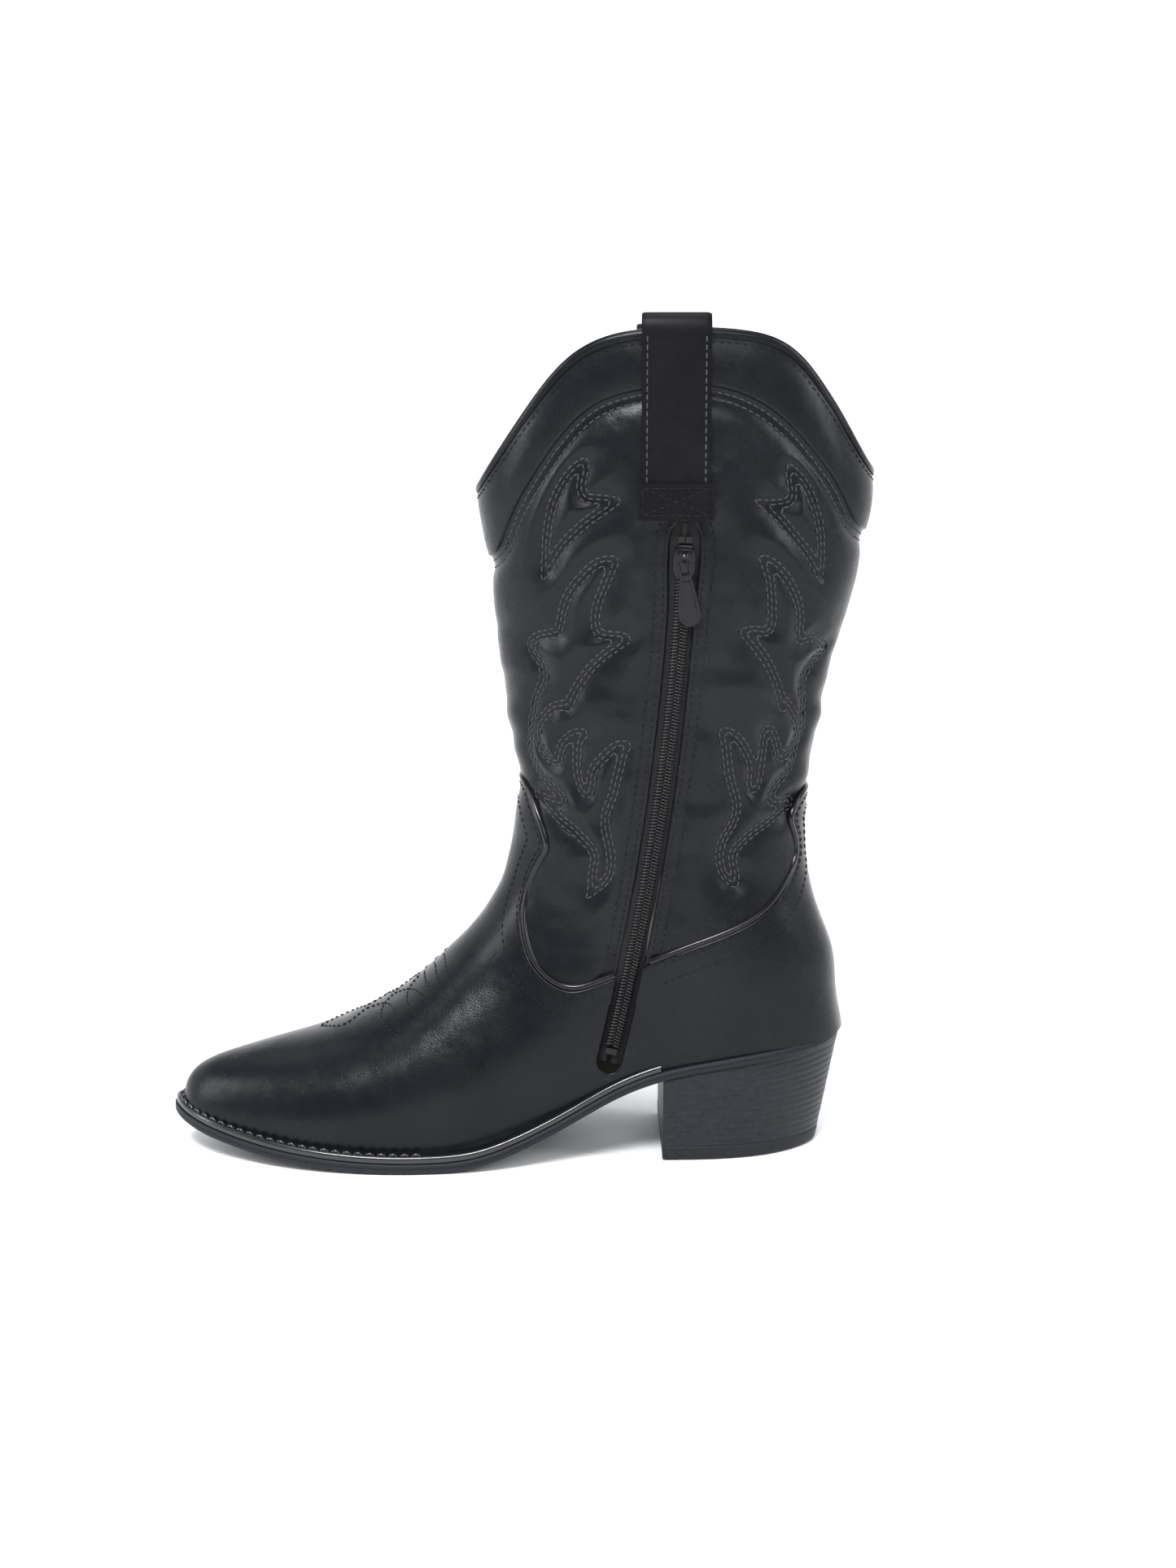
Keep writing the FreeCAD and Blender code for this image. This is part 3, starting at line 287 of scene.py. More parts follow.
def unit(v):
    return v / (np.linalg.norm(v, axis=-1, keepdims=True) + 1e-12)


def smooth_noise(points, size, seed):
    """Soft random values from -1 to 1, with waves about `size` long."""
    lattice = np.random.RandomState(seed).uniform(-1, 1, (32, 32, 32))
    q = np.asarray(points, float) / np.asarray(size, float) + 57.3
    base = np.floor(q).astype(int)
    f = q - base
    f = f * f * (3 - 2 * f)
    total = 0.0
    for i in (0, 1):
        for j in (0, 1):
            for k in (0, 1):
                w = np.abs([1 - i, 1 - j, 1 - k] - f).prod(-1)
                c = (base + [i, j, k]) % 32
                total = total + w * lattice[c[..., 0], c[..., 1], c[..., 2]]
    return total


# ------------------------------------------------------ the face of the boot
def cross_section(section, count):
    """Even places round one cross-section, from the front over the inner side."""
    fx, fz, bx, bz, half, centre, share, front, back = section[:9]
    depth = math.hypot(bx - fx, bz - fz)
    angle = np.linspace(0, 2 * np.pi, 1441)
    c, s = np.cos(angle), np.sin(angle)
    power = np.where(c >= 0, front, back)
    reach = (abs(c) ** power + abs(s) ** power) ** (-1 / power)
    along = share * depth - reach * c * np.where(c >= 0, share, 1 - share) * depth
    across = -reach * s * half
    length = np.concatenate([[0], np.cumsum(np.hypot(np.diff(along), np.diff(across)))])
    at = np.linspace(0, length[-1], count, endpoint=False)
    along = np.interp(at, length, along)
    across = np.interp(at, length, across)
    return np.stack([fx + (bx - fx) / depth * along, centre + across,
                     fz + (bz - fz) / depth * along], 1)


class Face:
    """A grid on the face of the shaft leather, over a stretch of the boot's length.

    Row data are columns: 0-2 place, 3-5 normal, 6 share of the way round from the
    front over the inner side, 7 distance along the boot.
    """

    def __init__(self, count, step, low, high, tip=False):
        rings = np.array([cross_section(s, count) for s in SECTIONS])
        gaps = np.linalg.norm(np.diff(rings, axis=0), axis=2).mean(1)
        self.stations = np.concatenate([[0], np.cumsum(gaps)])
        high = min(high, self.stations[-1])
        self.v = np.linspace(low, high, int((high - low) / step) + 1)
        place = natural(self.stations, rings, self.v)
        if tip:
            share = np.sqrt(1 - np.linspace(1, 0.12, 6, endpoint=False) ** 2)[:, None, None]
            middle = place[:1].mean(1, keepdims=True)
            nose = middle + (place[:1] - middle) * share + [[[-1.0, 0, 0]]] * (1 - share)
            place = np.concatenate([nose, place])
            self.v = np.concatenate([np.linspace(-2, -0.3, 6), self.v])
        along = np.gradient(place, axis=0)
        around = np.roll(place, -1, 1) - np.roll(place, 1, 1)
        normal = unit(np.cross(around, along))
        if tip:
            normal[0] = [-1, 0, 0]
        self.place, self.normal = place, normal
        self.per = np.linalg.norm(np.roll(place, -1, 1) - place, axis=2).sum(1)
        rows, cols = place.shape[:2]
        u = np.broadcast_to(np.arange(cols) / cols, (rows, cols))
        v = np.broadcast_to(self.v[:, None], (rows, cols))
        self.data = np.concatenate([place, normal, u[..., None], v[..., None]], 2)
        self.data = self.data.reshape(-1, 8)
        i, j = np.meshgrid(np.arange(rows - 1), np.arange(cols), indexing="ij")
        a = (i * cols + j).ravel()
        b = (i * cols + (j + 1) % cols).ravel()
        flip = ((i + j) % 2 == 0).ravel()[:, None]
        one = np.where(flip, np.stack([a, b, b + cols], 1), np.stack([a, b, a + cols], 1))
        two = np.where(flip, np.stack([a, b + cols, a + cols], 1),
                       np.stack([b, b + cols, a + cols], 1))
        self.tris = np.concatenate([one, two])

    def at(self, u, v):
        """Place and normal at a share of the way round and a distance along."""
        rows, cols = self.place.shape[:2]
        fv = np.clip(np.interp(v, self.v, np.arange(rows)), 0, rows - 1.001)
        fu = (u % 1.0) * cols
        i, j = fv.astype(int), fu.astype(int) % cols
        a, b = (fv - i)[:, None], (fu - np.floor(fu))[:, None]
        k = (j + 1) % cols
        result = []
        for grid in (self.place, self.normal):
            low = grid[i, j] * (1 - b) + grid[i, k] * b
            high = grid[i + 1, j] * (1 - b) + grid[i + 1, k] * b
            result.append(low * (1 - a) + high * a)
        return result[0], unit(result[1])

    def find(self, around, goal, axis, side=1, from_back=False):
        """Places at a distance round from the front or back, and a height or length."""
        around = np.asarray(around, float)
        rows = self.v < 150 if axis == 0 else self.v > 200
        v = np.interp(goal, self.place[rows, 0, axis], self.v[rows])
        for _ in range(12):
            u = around / np.interp(v, self.v, self.per)
            u = 0.5 - u if from_back else u
            u = u if side > 0 else 1 - u
            here = self.at(u, v)[0][:, axis]
            slope = (self.at(u, v + 0.5)[0][:, axis] - here) / 0.5
            v = v + np.clip((goal - here) / np.where(abs(slope) < 0.2, 0.2, slope), -15, 15)
        return self.at(u, v)


def signed(outline, data):
    """Distance over the face to an outline seen from the side, plus inside it."""
    x, z = data[:, 0], data[:, 2]
    best = np.full(len(x), 1e9)
    near = np.zeros((2, len(x)))
    inside = np.zeros(len(x), bool)
    for (x0, z0), (x1, z1) in zip(outline, np.roll(outline, -1, 0)):
        dx, dz = x1 - x0, z1 - z0
        square = dx * dx + dz * dz
        if square < 1e-9:
            continue
        t = np.clip(((x - x0) * dx + (z - z0) * dz) / square, 0, 1)
        ex, ez = x - x0 - t * dx, z - z0 - t * dz
        d = ex * ex + ez * ez
        closer = d < best
        best = np.where(closer, d, best)
        near = np.where(closer, [ex, ez], near)
        if dz:
            inside ^= ((z0 > z) != (z1 > z)) & (x < x0 + (z - z0) * dx / dz)
    length = np.sqrt(best)
    towards = near / (length + 1e-9)
    lean = towards[0] * data[:, 3] + towards[1] * data[:, 5]
    length = length / np.sqrt(np.clip(1 - lean ** 2, 0.08, 1))
    return np.where(inside, length, -length)


def cut(data, tris, column, both=False):
    """Cut triangles along the zero of a column, and keep the plus side, or both."""
    f = data[:, column].copy()
    f[abs(f) < 1e-4] = 1e-4
    plus = f > 0
    count = plus[tris].sum(1)
    part = tris[(count == 1) | (count == 2)]
    single = plus[part] == (plus[part].sum(1) == 1)[:, None]
    turn = (single.argmax(1)[:, None] + np.arange(3)) % 3
    part = np.take_along_axis(part, turn, 1)
    a, b, c = part.T
    ends = np.sort(np.concatenate([np.stack([a, b], 1), np.stack([a, c], 1)]), 1)
    pairs, index = np.unique(ends, axis=0, return_inverse=True)
    index = index.reshape(-1)
    g0, g1 = f[pairs[:, 0]], f[pairs[:, 1]]
    t = (g0 / (g0 - g1))[:, None]
    fresh = data[pairs[:, 0]] * (1 - t) + data[pairs[:, 1]] * t
    fresh[:, column] = 0
    ab, ac = index[:len(a)] + len(data), index[len(a):] + len(data)
    corner = np.stack([a, ab, ac], 1)
    rest = np.concatenate([np.stack([ab, b, c], 1), np.stack([ab, c, ac], 1)])
    up = plus[a]
    kept = [tris[count == 3], corner[up], rest[np.tile(~up, 2)]]
    if both:
        kept += [tris[count == 0], corner[~up], rest[np.tile(up, 2)]]
    tris = np.concatenate(kept)
    data = np.concatenate([data, fresh])
    used, tris = np.unique(tris, return_inverse=True)
    return data[used], tris.reshape(-1, 3)


def contours(data, tris, values):
    """Ordered lines along which values pass through zero."""
    f = np.where(abs(values) < 1e-6, 1e-6, values)
    plus = f > 0
    part = tris[(plus[tris].sum(1) == 1) | (plus[tris].sum(1) == 2)]
    links = {}
    for tri in part.tolist():
        keys = [(min(p, q), max(p, q)) for p, q in zip(tri, tri[1:] + tri[:1])
                if plus[p] != plus[q]]
        links.setdefault(keys[0], []).append(keys[1])
        links.setdefault(keys[1], []).append(keys[0])
    starts = [k for k, n in links.items() if len(n) == 1] + list(links)
    seen = set()
    lines = []
    for start in starts:
        if start in seen:
            continue
        line = [start]
        seen.add(start)
        while True:
            following = [k for k in links[line[-1]] if k not in seen]
            if not following:
                break
            line.append(following[0])
            seen.add(following[0])
        if line[0] in links[line[-1]] and len(line) > 2:
            line.append(line[0])
        if len(line) > 4:
            p, q = np.array(line).T
            t = (f[p] / (f[p] - f[q]))[:, None]
            lines.append(data[p] * (1 - t) + data[q] * t)
    return lines


def split_where(line, keep):
    """The stretches of a line where keep holds."""
    parts = []
    run = []
    for row, good in zip(line, keep):
        if good:
            run.append(row)
        elif run:
            parts.append(np.array(run))
            run = []
    if run:
        parts.append(np.array(run))
    return [p for p in parts if len(p) > 4]


def evened(line, spacing, smooth=2):
    """A line of rows resampled at even spacing, with its kinks smoothed."""
    closed = np.linalg.norm(line[0, :3] - line[-1, :3]) < 1e-6
    t = travelled(line[:, :3])
    keep = np.concatenate([[True], np.diff(t) > 1e-6])
    line, t = line[keep], t[keep]
    count = max(3, int(round(t[-1] / spacing)) + 1)
    at = np.linspace(0, t[-1], count)
    line = np.stack([np.interp(at, t, column) for column in line.T], 1)
    for _ in range(smooth):
        if closed:
            ring = line[:-1]
            ring = (np.roll(ring, 1, 0) + 2 * ring + np.roll(ring, -1, 0)) / 4
            line = np.concatenate([ring, ring[:1]])
        else:
            line[1:-1] = (line[:-2] + 2 * line[1:-1] + line[2:]) / 4
    line[:, 3:6] = unit(line[:, 3:6])
    return line


# ---------------------------------------------------------------- meshes
def mesh_object(name, points, faces, material, body="boot", sharp=40, weld=0):
    """A mesh from points in millimetres and arrays of equal-sided faces."""
    faces = [np.asarray(f) for f in (faces if isinstance(faces, list) else [faces]) if len(f)]
    mesh = bpy.data.meshes.new(name)
    mesh.vertices.add(len(points))
    mesh.vertices.foreach_set("co", (np.asarray(points, float) * MM).astype(np.float32).ravel())
    sizes = np.concatenate([np.full(len(f), f.shape[1]) for f in faces])
    mesh.loops.add(int(sizes.sum()))
    mesh.loops.foreach_set("vertex_index", np.concatenate([f.ravel() for f in faces]))
    mesh.polygons.add(len(sizes))
    mesh.polygons.foreach_set("loop_start", np.concatenate([[0], np.cumsum(sizes)[:-1]]))
    mesh.update(calc_edges=True)
    mesh.validate()
    if weld:
        soft = bmesh.new()
        soft.from_mesh(mesh)
        bmesh.ops.remove_doubles(soft, verts=soft.verts, dist=weld * MM)
        soft.to_mesh(mesh)
        soft.free()
    mesh.shade_smooth()
    if sharp:
        mesh.set_sharp_from_angle(angle=math.radians(sharp))
    mesh.materials.append(material)
    obj = bpy.data.objects.new(name, mesh)
    bpy.context.scene.collection.objects.link(obj)
    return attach(obj, body)


def strip_faces(rows, cols, wrap_rows=False, wrap_cols=False):
    """Quads of a grid of points with rows * cols entries."""
    i = np.arange(rows if wrap_rows else rows - 1)
    j = np.arange(cols if wrap_cols else cols - 1)
    i, j = [a.ravel() for a in np.meshgrid(i, j, indexing="ij")]
    i1, j1 = (i + 1) % rows, (j + 1) % cols
    return np.stack([i * cols + j, i1 * cols + j, i1 * cols + j1, i * cols + j1], 1)


def edge_loops(tris):
    """Directed edges that belong to one triangle only."""
    edges = np.concatenate([tris[:, [0, 1]], tris[:, [1, 2]], tris[:, [2, 0]]])
    key = np.sort(edges, 1)
    _, index, count = np.unique(key, axis=0, return_index=True, return_counts=True)
    return edges[index[count == 1]]


def panel(name, data, tris, material, outer, inner, roll, lift, edge_column):
    """A leather panel: its outer face with rolled edges, and walls down to its inside."""
    edge = data[:, edge_column]
    down = roll - np.sqrt(np.clip(roll ** 2 - (roll - np.clip(edge, 0, roll)) ** 2, 0, None))
    top = data[:, :3] + data[:, 3:6] * (outer + lift - down)[:, None]
    rim = edge_loops(tris)
    used, index = np.unique(rim, return_inverse=True)
    index = index.reshape(-1, 2) + len(top)
    low = data[used, :3] + data[used, 3:6] * inner
    walls = np.stack([rim[:, 1], rim[:, 0], index[:, 0], index[:, 1]], 1)
    return mesh_object(name, np.concatenate([top, low]), [tris, walls], material, weld=0.12)


def tube(line, radius, sides=10, squash=1.0, raise_by=0.0):
    """Points and faces of a cord along rows of place and normal."""
    place, normal = line[:, :3], line[:, 3:6]
    closed = np.linalg.norm(place[0] - place[-1]) < 1e-6
    if closed:
        place, normal = place[:-1], normal[:-1]
        along = unit(np.roll(place, -1, 0) - np.roll(place, 1, 0))
    else:
        along = unit(np.gradient(place, axis=0))
    side = unit(np.cross(along, normal))
    up = unit(np.cross(side, along))
    angle = np.arange(sides) * 2 * np.pi / sides
    ring = side[:, None] * np.cos(angle)[None, :, None] * radius
    ring = ring + up[:, None] * np.sin(angle)[None, :, None] * radius * squash
    points = (place + up * raise_by)[:, None] + ring
    faces = strip_faces(len(place), sides, wrap_rows=closed, wrap_cols=True)
    return points.reshape(-1, 3), faces


def joined(parts):
    """Several (points, faces) of one face size as one."""
    points, faces, start = [], [], 0
    for p, f in parts:
        points.append(p)
        faces.append(f + start)
        start += len(p)
    return np.concatenate(points), np.concatenate(faces)


def stitches(lines, height, pitch=3.0, long=2.35, radius=0.27, sides=5):
    """Separate threads along lines, each one diving into the leather at both ends."""
    spots = []
    for line in lines:
        even = evened(line, pitch, smooth=0)
        middle = (even[1:] + even[:-1]) / 2
        spots.append(np.concatenate([middle[:, :3], unit(middle[:, 3:6]),
                                     unit(even[1:, :3] - even[:-1, :3])], 1))
    spots = np.concatenate(spots)
    place, normal, along = spots[:, :3], spots[:, 3:6], spots[:, 6:9]
    place = place + normal * (height(place)[:, None] if callable(height) else height)
    side = unit(np.cross(along, normal))
    t = np.array([-1.0, -0.62, 0.0, 0.62, 1.0])
    rise = np.array([-0.9, 0.35, 0.75, 0.35, -0.9]) * radius
    thick = np.array([0.55, 1.0, 1.08, 1.0, 0.55]) * radius
    angle = np.arange(sides) * 2 * np.pi / sides
    centre = place[:, None] + along[:, None] * (t * long / 2)[None, :, None] \
        + normal[:, None] * rise[None, :, None]
    ring = side[:, None, None] * (np.cos(angle)[None, :] * thick[:, None])[None, :, :, None] \
        + normal[:, None, None] * (np.sin(angle)[None, :] * thick[:, None])[None, :, :, None]
    points = (centre[:, :, None] + ring).reshape(-1, 3)
    one = strip_faces(5, sides, wrap_cols=True)
    start = np.arange(len(place)) * 5 * sides
    faces = (one[None] + start[:, None, None]).reshape(-1, 4)
    return points, faces


# ---------------------------------------------------------------- materials
def nodes_of(name):
    """A new material with its shader, object coordinates, and ways to add and link nodes."""
    material = bpy.data.materials.new(name)
    material.use_nodes = True
    tree = material.node_tree
    shader = tree.nodes["Principled BSDF"]
    place = tree.nodes.new("ShaderNodeTexCoord")

    def add(kind, **values):
        node = tree.nodes.new("ShaderNode" + kind)
        for key, value in values.items():
            if hasattr(node, key):
                setattr(node, key, value)
            else:
                node.inputs[key.replace("_", " ")].default_value = value
        return node

    def link(a, b):
        tree.links.new(a, b)

    return material, shader, place.outputs["Object"], add, link


def toned(add, link, source, dark, light, low, high):
    """A dark and a light colour, spread over a value from low to high."""
    tone = add("ValToRGB")
    for element, position, colour in zip(tone.color_ramp.elements, (low, high), (dark, light)):
        element.position = position
        element.color = (*colour, 1)
    link(source, tone.inputs[0])
    return tone.outputs[0]


def leather(name, dark, light, rough, grain=0.0009, grain_depth=0.018, crease=0.0,
            coat=0.0, rough_spread=0.05, sheen=0.0, specular=0.15):
    """Coated leather: a fine pebble grain, soft creases, and uneven shine."""
    material, shader, place, add, link = nodes_of(name)
    warp = add("TexNoise", Scale=900.0, Detail=3.0)
    link(place, warp.inputs["Vector"])
    mix = add("MixRGB", Fac=0.0004)
    link(place, mix.inputs[1])
    link(warp.outputs["Color"], mix.inputs[2])
    mix.blend_type = "ADD"
    cells = add("TexVoronoi", Scale=1 / grain, feature="DISTANCE_TO_EDGE")
    link(mix.outputs[0], cells.inputs["Vector"])
    ridge = add("MapRange")
    ridge.inputs["From Max"].default_value = 0.22
    link(cells.outputs["Distance"], ridge.inputs["Value"])
    fine = add("TexNoise", Scale=4200.0, Detail=4.0, Roughness=0.6)
    link(place, fine.inputs["Vector"])
    soft = add("TexNoise", Scale=130.0, Detail=5.0, Roughness=0.55)
    link(place, soft.inputs["Vector"])
    broad = add("TexNoise", Scale=24.0, Detail=3.0)
    link(place, broad.inputs["Vector"])

    first = add("Bump", Strength=1.0, Distance=grain_depth * MM)
    link(ridge.outputs[0], first.inputs["Height"])
    second = add("Bump", Strength=0.5, Distance=0.00002)
    link(fine.outputs[0], second.inputs["Height"])
    link(first.outputs[0], second.inputs["Normal"])
    third = add("Bump", Strength=1.0, Distance=0.0001 + crease * MM)
    link(soft.outputs[0], third.inputs["Height"])
    link(second.outputs[0], third.inputs["Normal"])
    link(third.outputs[0], shader.inputs["Normal"])

    link(toned(add, link, broad.outputs[0], dark, light, 0.3, 0.75), shader.inputs["Base Color"])
    shine = add("MapRange")
    shine.inputs["From Min"].default_value = 0.3
    shine.inputs["From Max"].default_value = 0.7
    shine.inputs["To Min"].default_value = rough - rough_spread
    shine.inputs["To Max"].default_value = rough + rough_spread
    link(soft.outputs[0], shine.inputs["Value"])
    link(shine.outputs[0], shader.inputs["Roughness"])
    shader.inputs["Coat Weight"].default_value = coat
    shader.inputs["Coat Roughness"].default_value = 0.14
    shader.inputs["Sheen Weight"].default_value = sheen
    shader.inputs["Specular IOR Level"].default_value = specular
    return material


def woven(name, dark, light, pitch=0.0008, rough=0.75):
    """Cloth with crossing threads."""
    material, shader, place, add, link = nodes_of(name)
    waves = []
    for direction in ("X", "Z"):
        wave = add("TexWave", Scale=1 / pitch / 6.28 * 2, Distortion=1.5, Detail=1.0)
        wave.bands_direction = direction
        link(place, wave.inputs["Vector"])
        waves.append(wave)
    weave = add("MixRGB", Fac=1.0)
    weave.blend_type = "MULTIPLY"
    link(waves[0].outputs["Color"], weave.inputs[1])
    link(waves[1].outputs["Color"], weave.inputs[2])
    spots = add("TexNoise", Scale=400.0, Detail=3.0)
    link(place, spots.inputs["Vector"])
    tone = add("MixRGB")
    tone.inputs[1].default_value = (*dark, 1)
    tone.inputs[2].default_value = (*light, 1)
    link(weave.outputs[0], tone.inputs[0])
    worn = add("MixRGB", Fac=0.25)
    worn.blend_type = "MULTIPLY"
    link(tone.outputs[0], worn.inputs[1])
    link(spots.outputs["Color"], worn.inputs[2])
    link(worn.outputs[0], shader.inputs["Base Color"])
    bump = add("Bump", Strength=0.8, Distance=0.00015)
    link(weave.outputs[0], bump.inputs["Height"])
    link(bump.outputs[0], shader.inputs["Normal"])
    shader.inputs["Roughness"].default_value = rough
    shader.inputs["Specular IOR Level"].default_value = 0.15
    return material


def speckled(name, dark, light, rough, scale=300.0, depth=0.05, metallic=0.0, coat=0.0,
             lines=0.0, specular=0.15):
    """Moulded or painted stuff with fine unevenness, and lines across it if asked."""
    material, shader, place, add, link = nodes_of(name)
    spots = add("TexNoise", Scale=scale, Detail=6.0, Roughness=0.65)
    link(place, spots.inputs["Vector"])
    height = spots.outputs[0]
    if lines:
        stretch = add("Mapping")
        stretch.inputs["Scale"].default_value = (0.06, 0.06, 1.0)
        link(place, stretch.inputs["Vector"])
        grain = add("TexNoise", Scale=lines, Detail=4.0, Roughness=0.7)
        link(stretch.outputs[0], grain.inputs["Vector"])
        both = add("Math", operation="ADD")
        link(spots.outputs[0], both.inputs[0])
        link(grain.outputs[0], both.inputs[1])
        half = add("Math", operation="MULTIPLY")
        half.inputs[1].default_value = 0.5
        link(both.outputs[0], half.inputs[0])
        height = half.outputs[0]
    link(toned(add, link, height, dark, light, 0.32, 0.7), shader.inputs["Base Color"])
    bump = add("Bump", Strength=0.7, Distance=depth * MM)
    link(height, bump.inputs["Height"])
    link(bump.outputs[0], shader.inputs["Normal"])
    uneven = add("MapRange")
    uneven.inputs["To Min"].default_value = max(0.03, rough - 0.1)
    uneven.inputs["To Max"].default_value = rough + 0.1
    link(spots.outputs[0], uneven.inputs["Value"])
    link(uneven.outputs[0], shader.inputs["Roughness"])
    shader.inputs["Metallic"].default_value = metallic
    shader.inputs["Specular IOR Level"].default_value = 0.5 if metallic else specular
    shader.inputs["Coat Weight"].default_value = coat
    shader.inputs["Coat Roughness"].default_value = 0.08
    return material


SHAFT = leather("shaft_leather", (0.0038, 0.0044, 0.0056), (0.0062, 0.007, 0.009), 0.25, crease=0.1)
VAMP = leather("vamp_leather", (0.0034, 0.004, 0.0054), (0.0058, 0.0066, 0.0088), 0.24, crease=0.06)
PIPING = leather("patent_piping", (0.004, 0.004, 0.005), (0.007, 0.007, 0.008), 0.14,
                 grain_depth=0.01, coat=0.25, rough_spread=0.04)
STRAP = leather("strap_leather", (0.0024, 0.0026, 0.0036), (0.0044, 0.0046, 0.006), 0.42,
                grain_depth=0.02, specular=0.08)
WELT = leather("welt_leather", (0.004, 0.0045, 0.006), (0.007, 0.008, 0.010), 0.2,
               grain_depth=0.006, specular=0.5, coat=0.2)
LINING = leather("lining_leather", (0.045, 0.040, 0.037), (0.070, 0.062, 0.056), 0.6,
                 grain_depth=0.04, crease=0.2)
# Dark grey thread painted lighter grey on the shaft: painted sheen standing in for the highlights the
# stitches catch.
THREAD = woven("shaft_thread_painted_sheen", (0.035, 0.036, 0.038), (0.12, 0.12, 0.125), 0.0005, 0.6)
DARK_THREAD = woven("vamp_thread", (0.004, 0.004, 0.005), (0.02, 0.02, 0.022), 0.0005, 0.5)
TAPE = woven("zip_tape_cloth", (0.006, 0.006, 0.007), (0.022, 0.022, 0.025), 0.0006, 0.7)
# Black nylon, its colour lifted a little towards grey: partly painted sheen for the highlights along the
# teeth.
COIL = speckled("zip_coil_nylon_painted_sheen", (0.010, 0.010, 0.011), (0.016, 0.016, 0.018), 0.25, 800.0, 0.004,
                specular=0.3)
METAL = speckled("zip_painted_metal", (0.003, 0.003, 0.0035), (0.005, 0.005, 0.006), 0.2, 300.0,
                 0.002, specular=0.22)
RUBBER = speckled("sole_rubber", (0.008, 0.009, 0.0115), (0.015, 0.0165, 0.020), 0.5, 900.0, 0.06)
STACK = speckled("stacked_heel", (0.0065, 0.0072, 0.009), (0.020, 0.022, 0.0265), 0.38, 500.0, 0.12,
                 lines=2600.0)
STEEL = speckled("steel", (0.25, 0.25, 0.25), (0.5, 0.5, 0.5), 0.35, 600.0, 0.01, metallic=1.0)
BOARD = speckled("insole_board", (0.25, 0.18, 0.11), (0.4, 0.3, 0.2), 0.8, 700.0, 0.1)
CORK = speckled("cork_filler", (0.18, 0.1, 0.05), (0.4, 0.26, 0.15), 0.85, 350.0, 0.3)
FOAM = speckled("foam", (0.2, 0.2, 0.2), (0.35, 0.35, 0.35), 0.9, 1200.0, 0.2)
STIFF = speckled("stiffener", (0.45, 0.42, 0.36), (0.6, 0.57, 0.5), 0.6, 500.0, 0.05)
CAD_LOOKS = {
    "heel_screw": STEEL, "heel_nail_1": STEEL, "heel_nail_2": STEEL, "heel_nail_3": STEEL,
    "heel_nail_4": STEEL, "shank": STEEL, "insole_board": BOARD, "bottom_filler": CORK,
    "sock_liner": LINING, "toe_puff": STIFF, "counter_stiffener": STIFF, "vamp_lining": LINING,
    "counter_lining": LINING, "padding_front": FOAM, "padding_back": FOAM, "zip_guard": LINING,
    "zip_top_stop_front": METAL, "zip_top_stop_back": METAL, "zip_bottom_stop": METAL,
}
for node_name, look in CAD_LOOKS.items():
    node = frame["nodes"][node_name]
    node.data.materials.clear()
    node.data.materials.append(look)


# ------------------------------------------------------------ the zip's track
def turned(vectors, degrees):
    """Vectors turned about the zip's axis, by an angle for each."""
    angle = np.radians(np.asarray(degrees, float))[..., None]
    vectors = np.broadcast_to(vectors, angle.shape[:-1] + (3,))
    along = (vectors @ AXIS)[..., None] * AXIS
    return vectors * np.cos(angle) + np.cross(AXIS, vectors) * np.sin(angle) \
        + along * (1 - np.cos(angle))


def track_axes(degrees):
    """Place on the track, and the side, up and outward directions there."""
    arm = turned(ARM, degrees)
    up = unit(np.cross(arm, AXIS))
    half_up = unit(np.cross(turned(ARM, HALF_TURN), AXIS))
    half_out = unit(np.array([0, -1.0, 0]) + half_up * half_up[1])
    out = turned(half_out, np.asarray(degrees, float) - HALF_TURN)
    return CENTRE + arm, np.cross(up, out), up, out


def on_track(side, up, out, degrees):
    """Places at side, up and outward distances from a point of the track."""
    point, s, u, o = track_axes(degrees)
    local = [np.asarray(value, float)[..., None] for value in (side, up, out)]
    return point + s * local[0] + u * local[1] + o * local[2]


def on_face(face, x, z, side):
    """Place and normal where lines across the boot, at x and z, meet one side of a face."""
    x, z = np.atleast_1d(x).astype(float), np.atleast_1d(z).astype(float)
    coarse = face.data[face.data[:, 1] * side > face.place[..., 1].mean() * side]
    coarse = coarse[::3]
    tree = tree_of([(row[0], row[2], 0) for row in coarse])
    start = np.array([coarse[tree.find((p, q, 0))[1]] for p, q in zip(x, z)])
    u, v = start[:, 6], start[:, 7]
    for _ in range(8):
        here = face.at(u, v)[0]
        du = (face.at(u + 0.002, v)[0] - here) / 0.002
        dv = (face.at(u, v + 0.5)[0] - here) / 0.5
        det = du[:, 0] * dv[:, 2] - du[:, 2] * dv[:, 0]
        det = np.where(abs(det) < 1e-6, 1e-6, det)
        ex, ez = x - here[:, 0], z - here[:, 2]
        u = u + np.clip((ex * dv[:, 2] - ez * dv[:, 0]) / det, -0.02, 0.02)
        v = v + np.clip((ez * du[:, 0] - ex * du[:, 2]) / det, -4, 4)
    return face.at(u, v)


travel = next(joint for joint in frame["joints"] if joint["name"] == "zip_travel")
CENTRE = np.array(travel["pos_m"]) / MM
AXIS = unit(np.array(travel["axis"], float))
HALF_TURN = 6.73
leg = Face(*((432, 0.9, 130, 486)))
foot = Face(*((420, 0.92, 0, 316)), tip=True)
spot, away = on_face(leg, TRACK_TOP[0], TRACK_TOP[1], -1)
arm = (spot - away * TRACK_DEPTH)[0] - CENTRE
ARM = arm - AXIS * (arm @ AXIS)
track = on_track(0, 0, 0, np.linspace(-1.3, 14.2, 60))
ZIP_LINE = np.stack([track[:, 0], track[:, 2]], 1)[::-1]
SEAM = np.concatenate([[(30, -20), (33.5, 20)],
                       ZIP_LINE[(ZIP_LINE[:, 1] > 33) & (ZIP_LINE[:, 1] < 262)],
                       [(67.5, 290), (68, 345)]])


def region(*chains):
    return np.concatenate([np.asarray(chain, float) for chain in chains])


def raised(line, distance):
    return [(x, z + distance) for x, z in line]


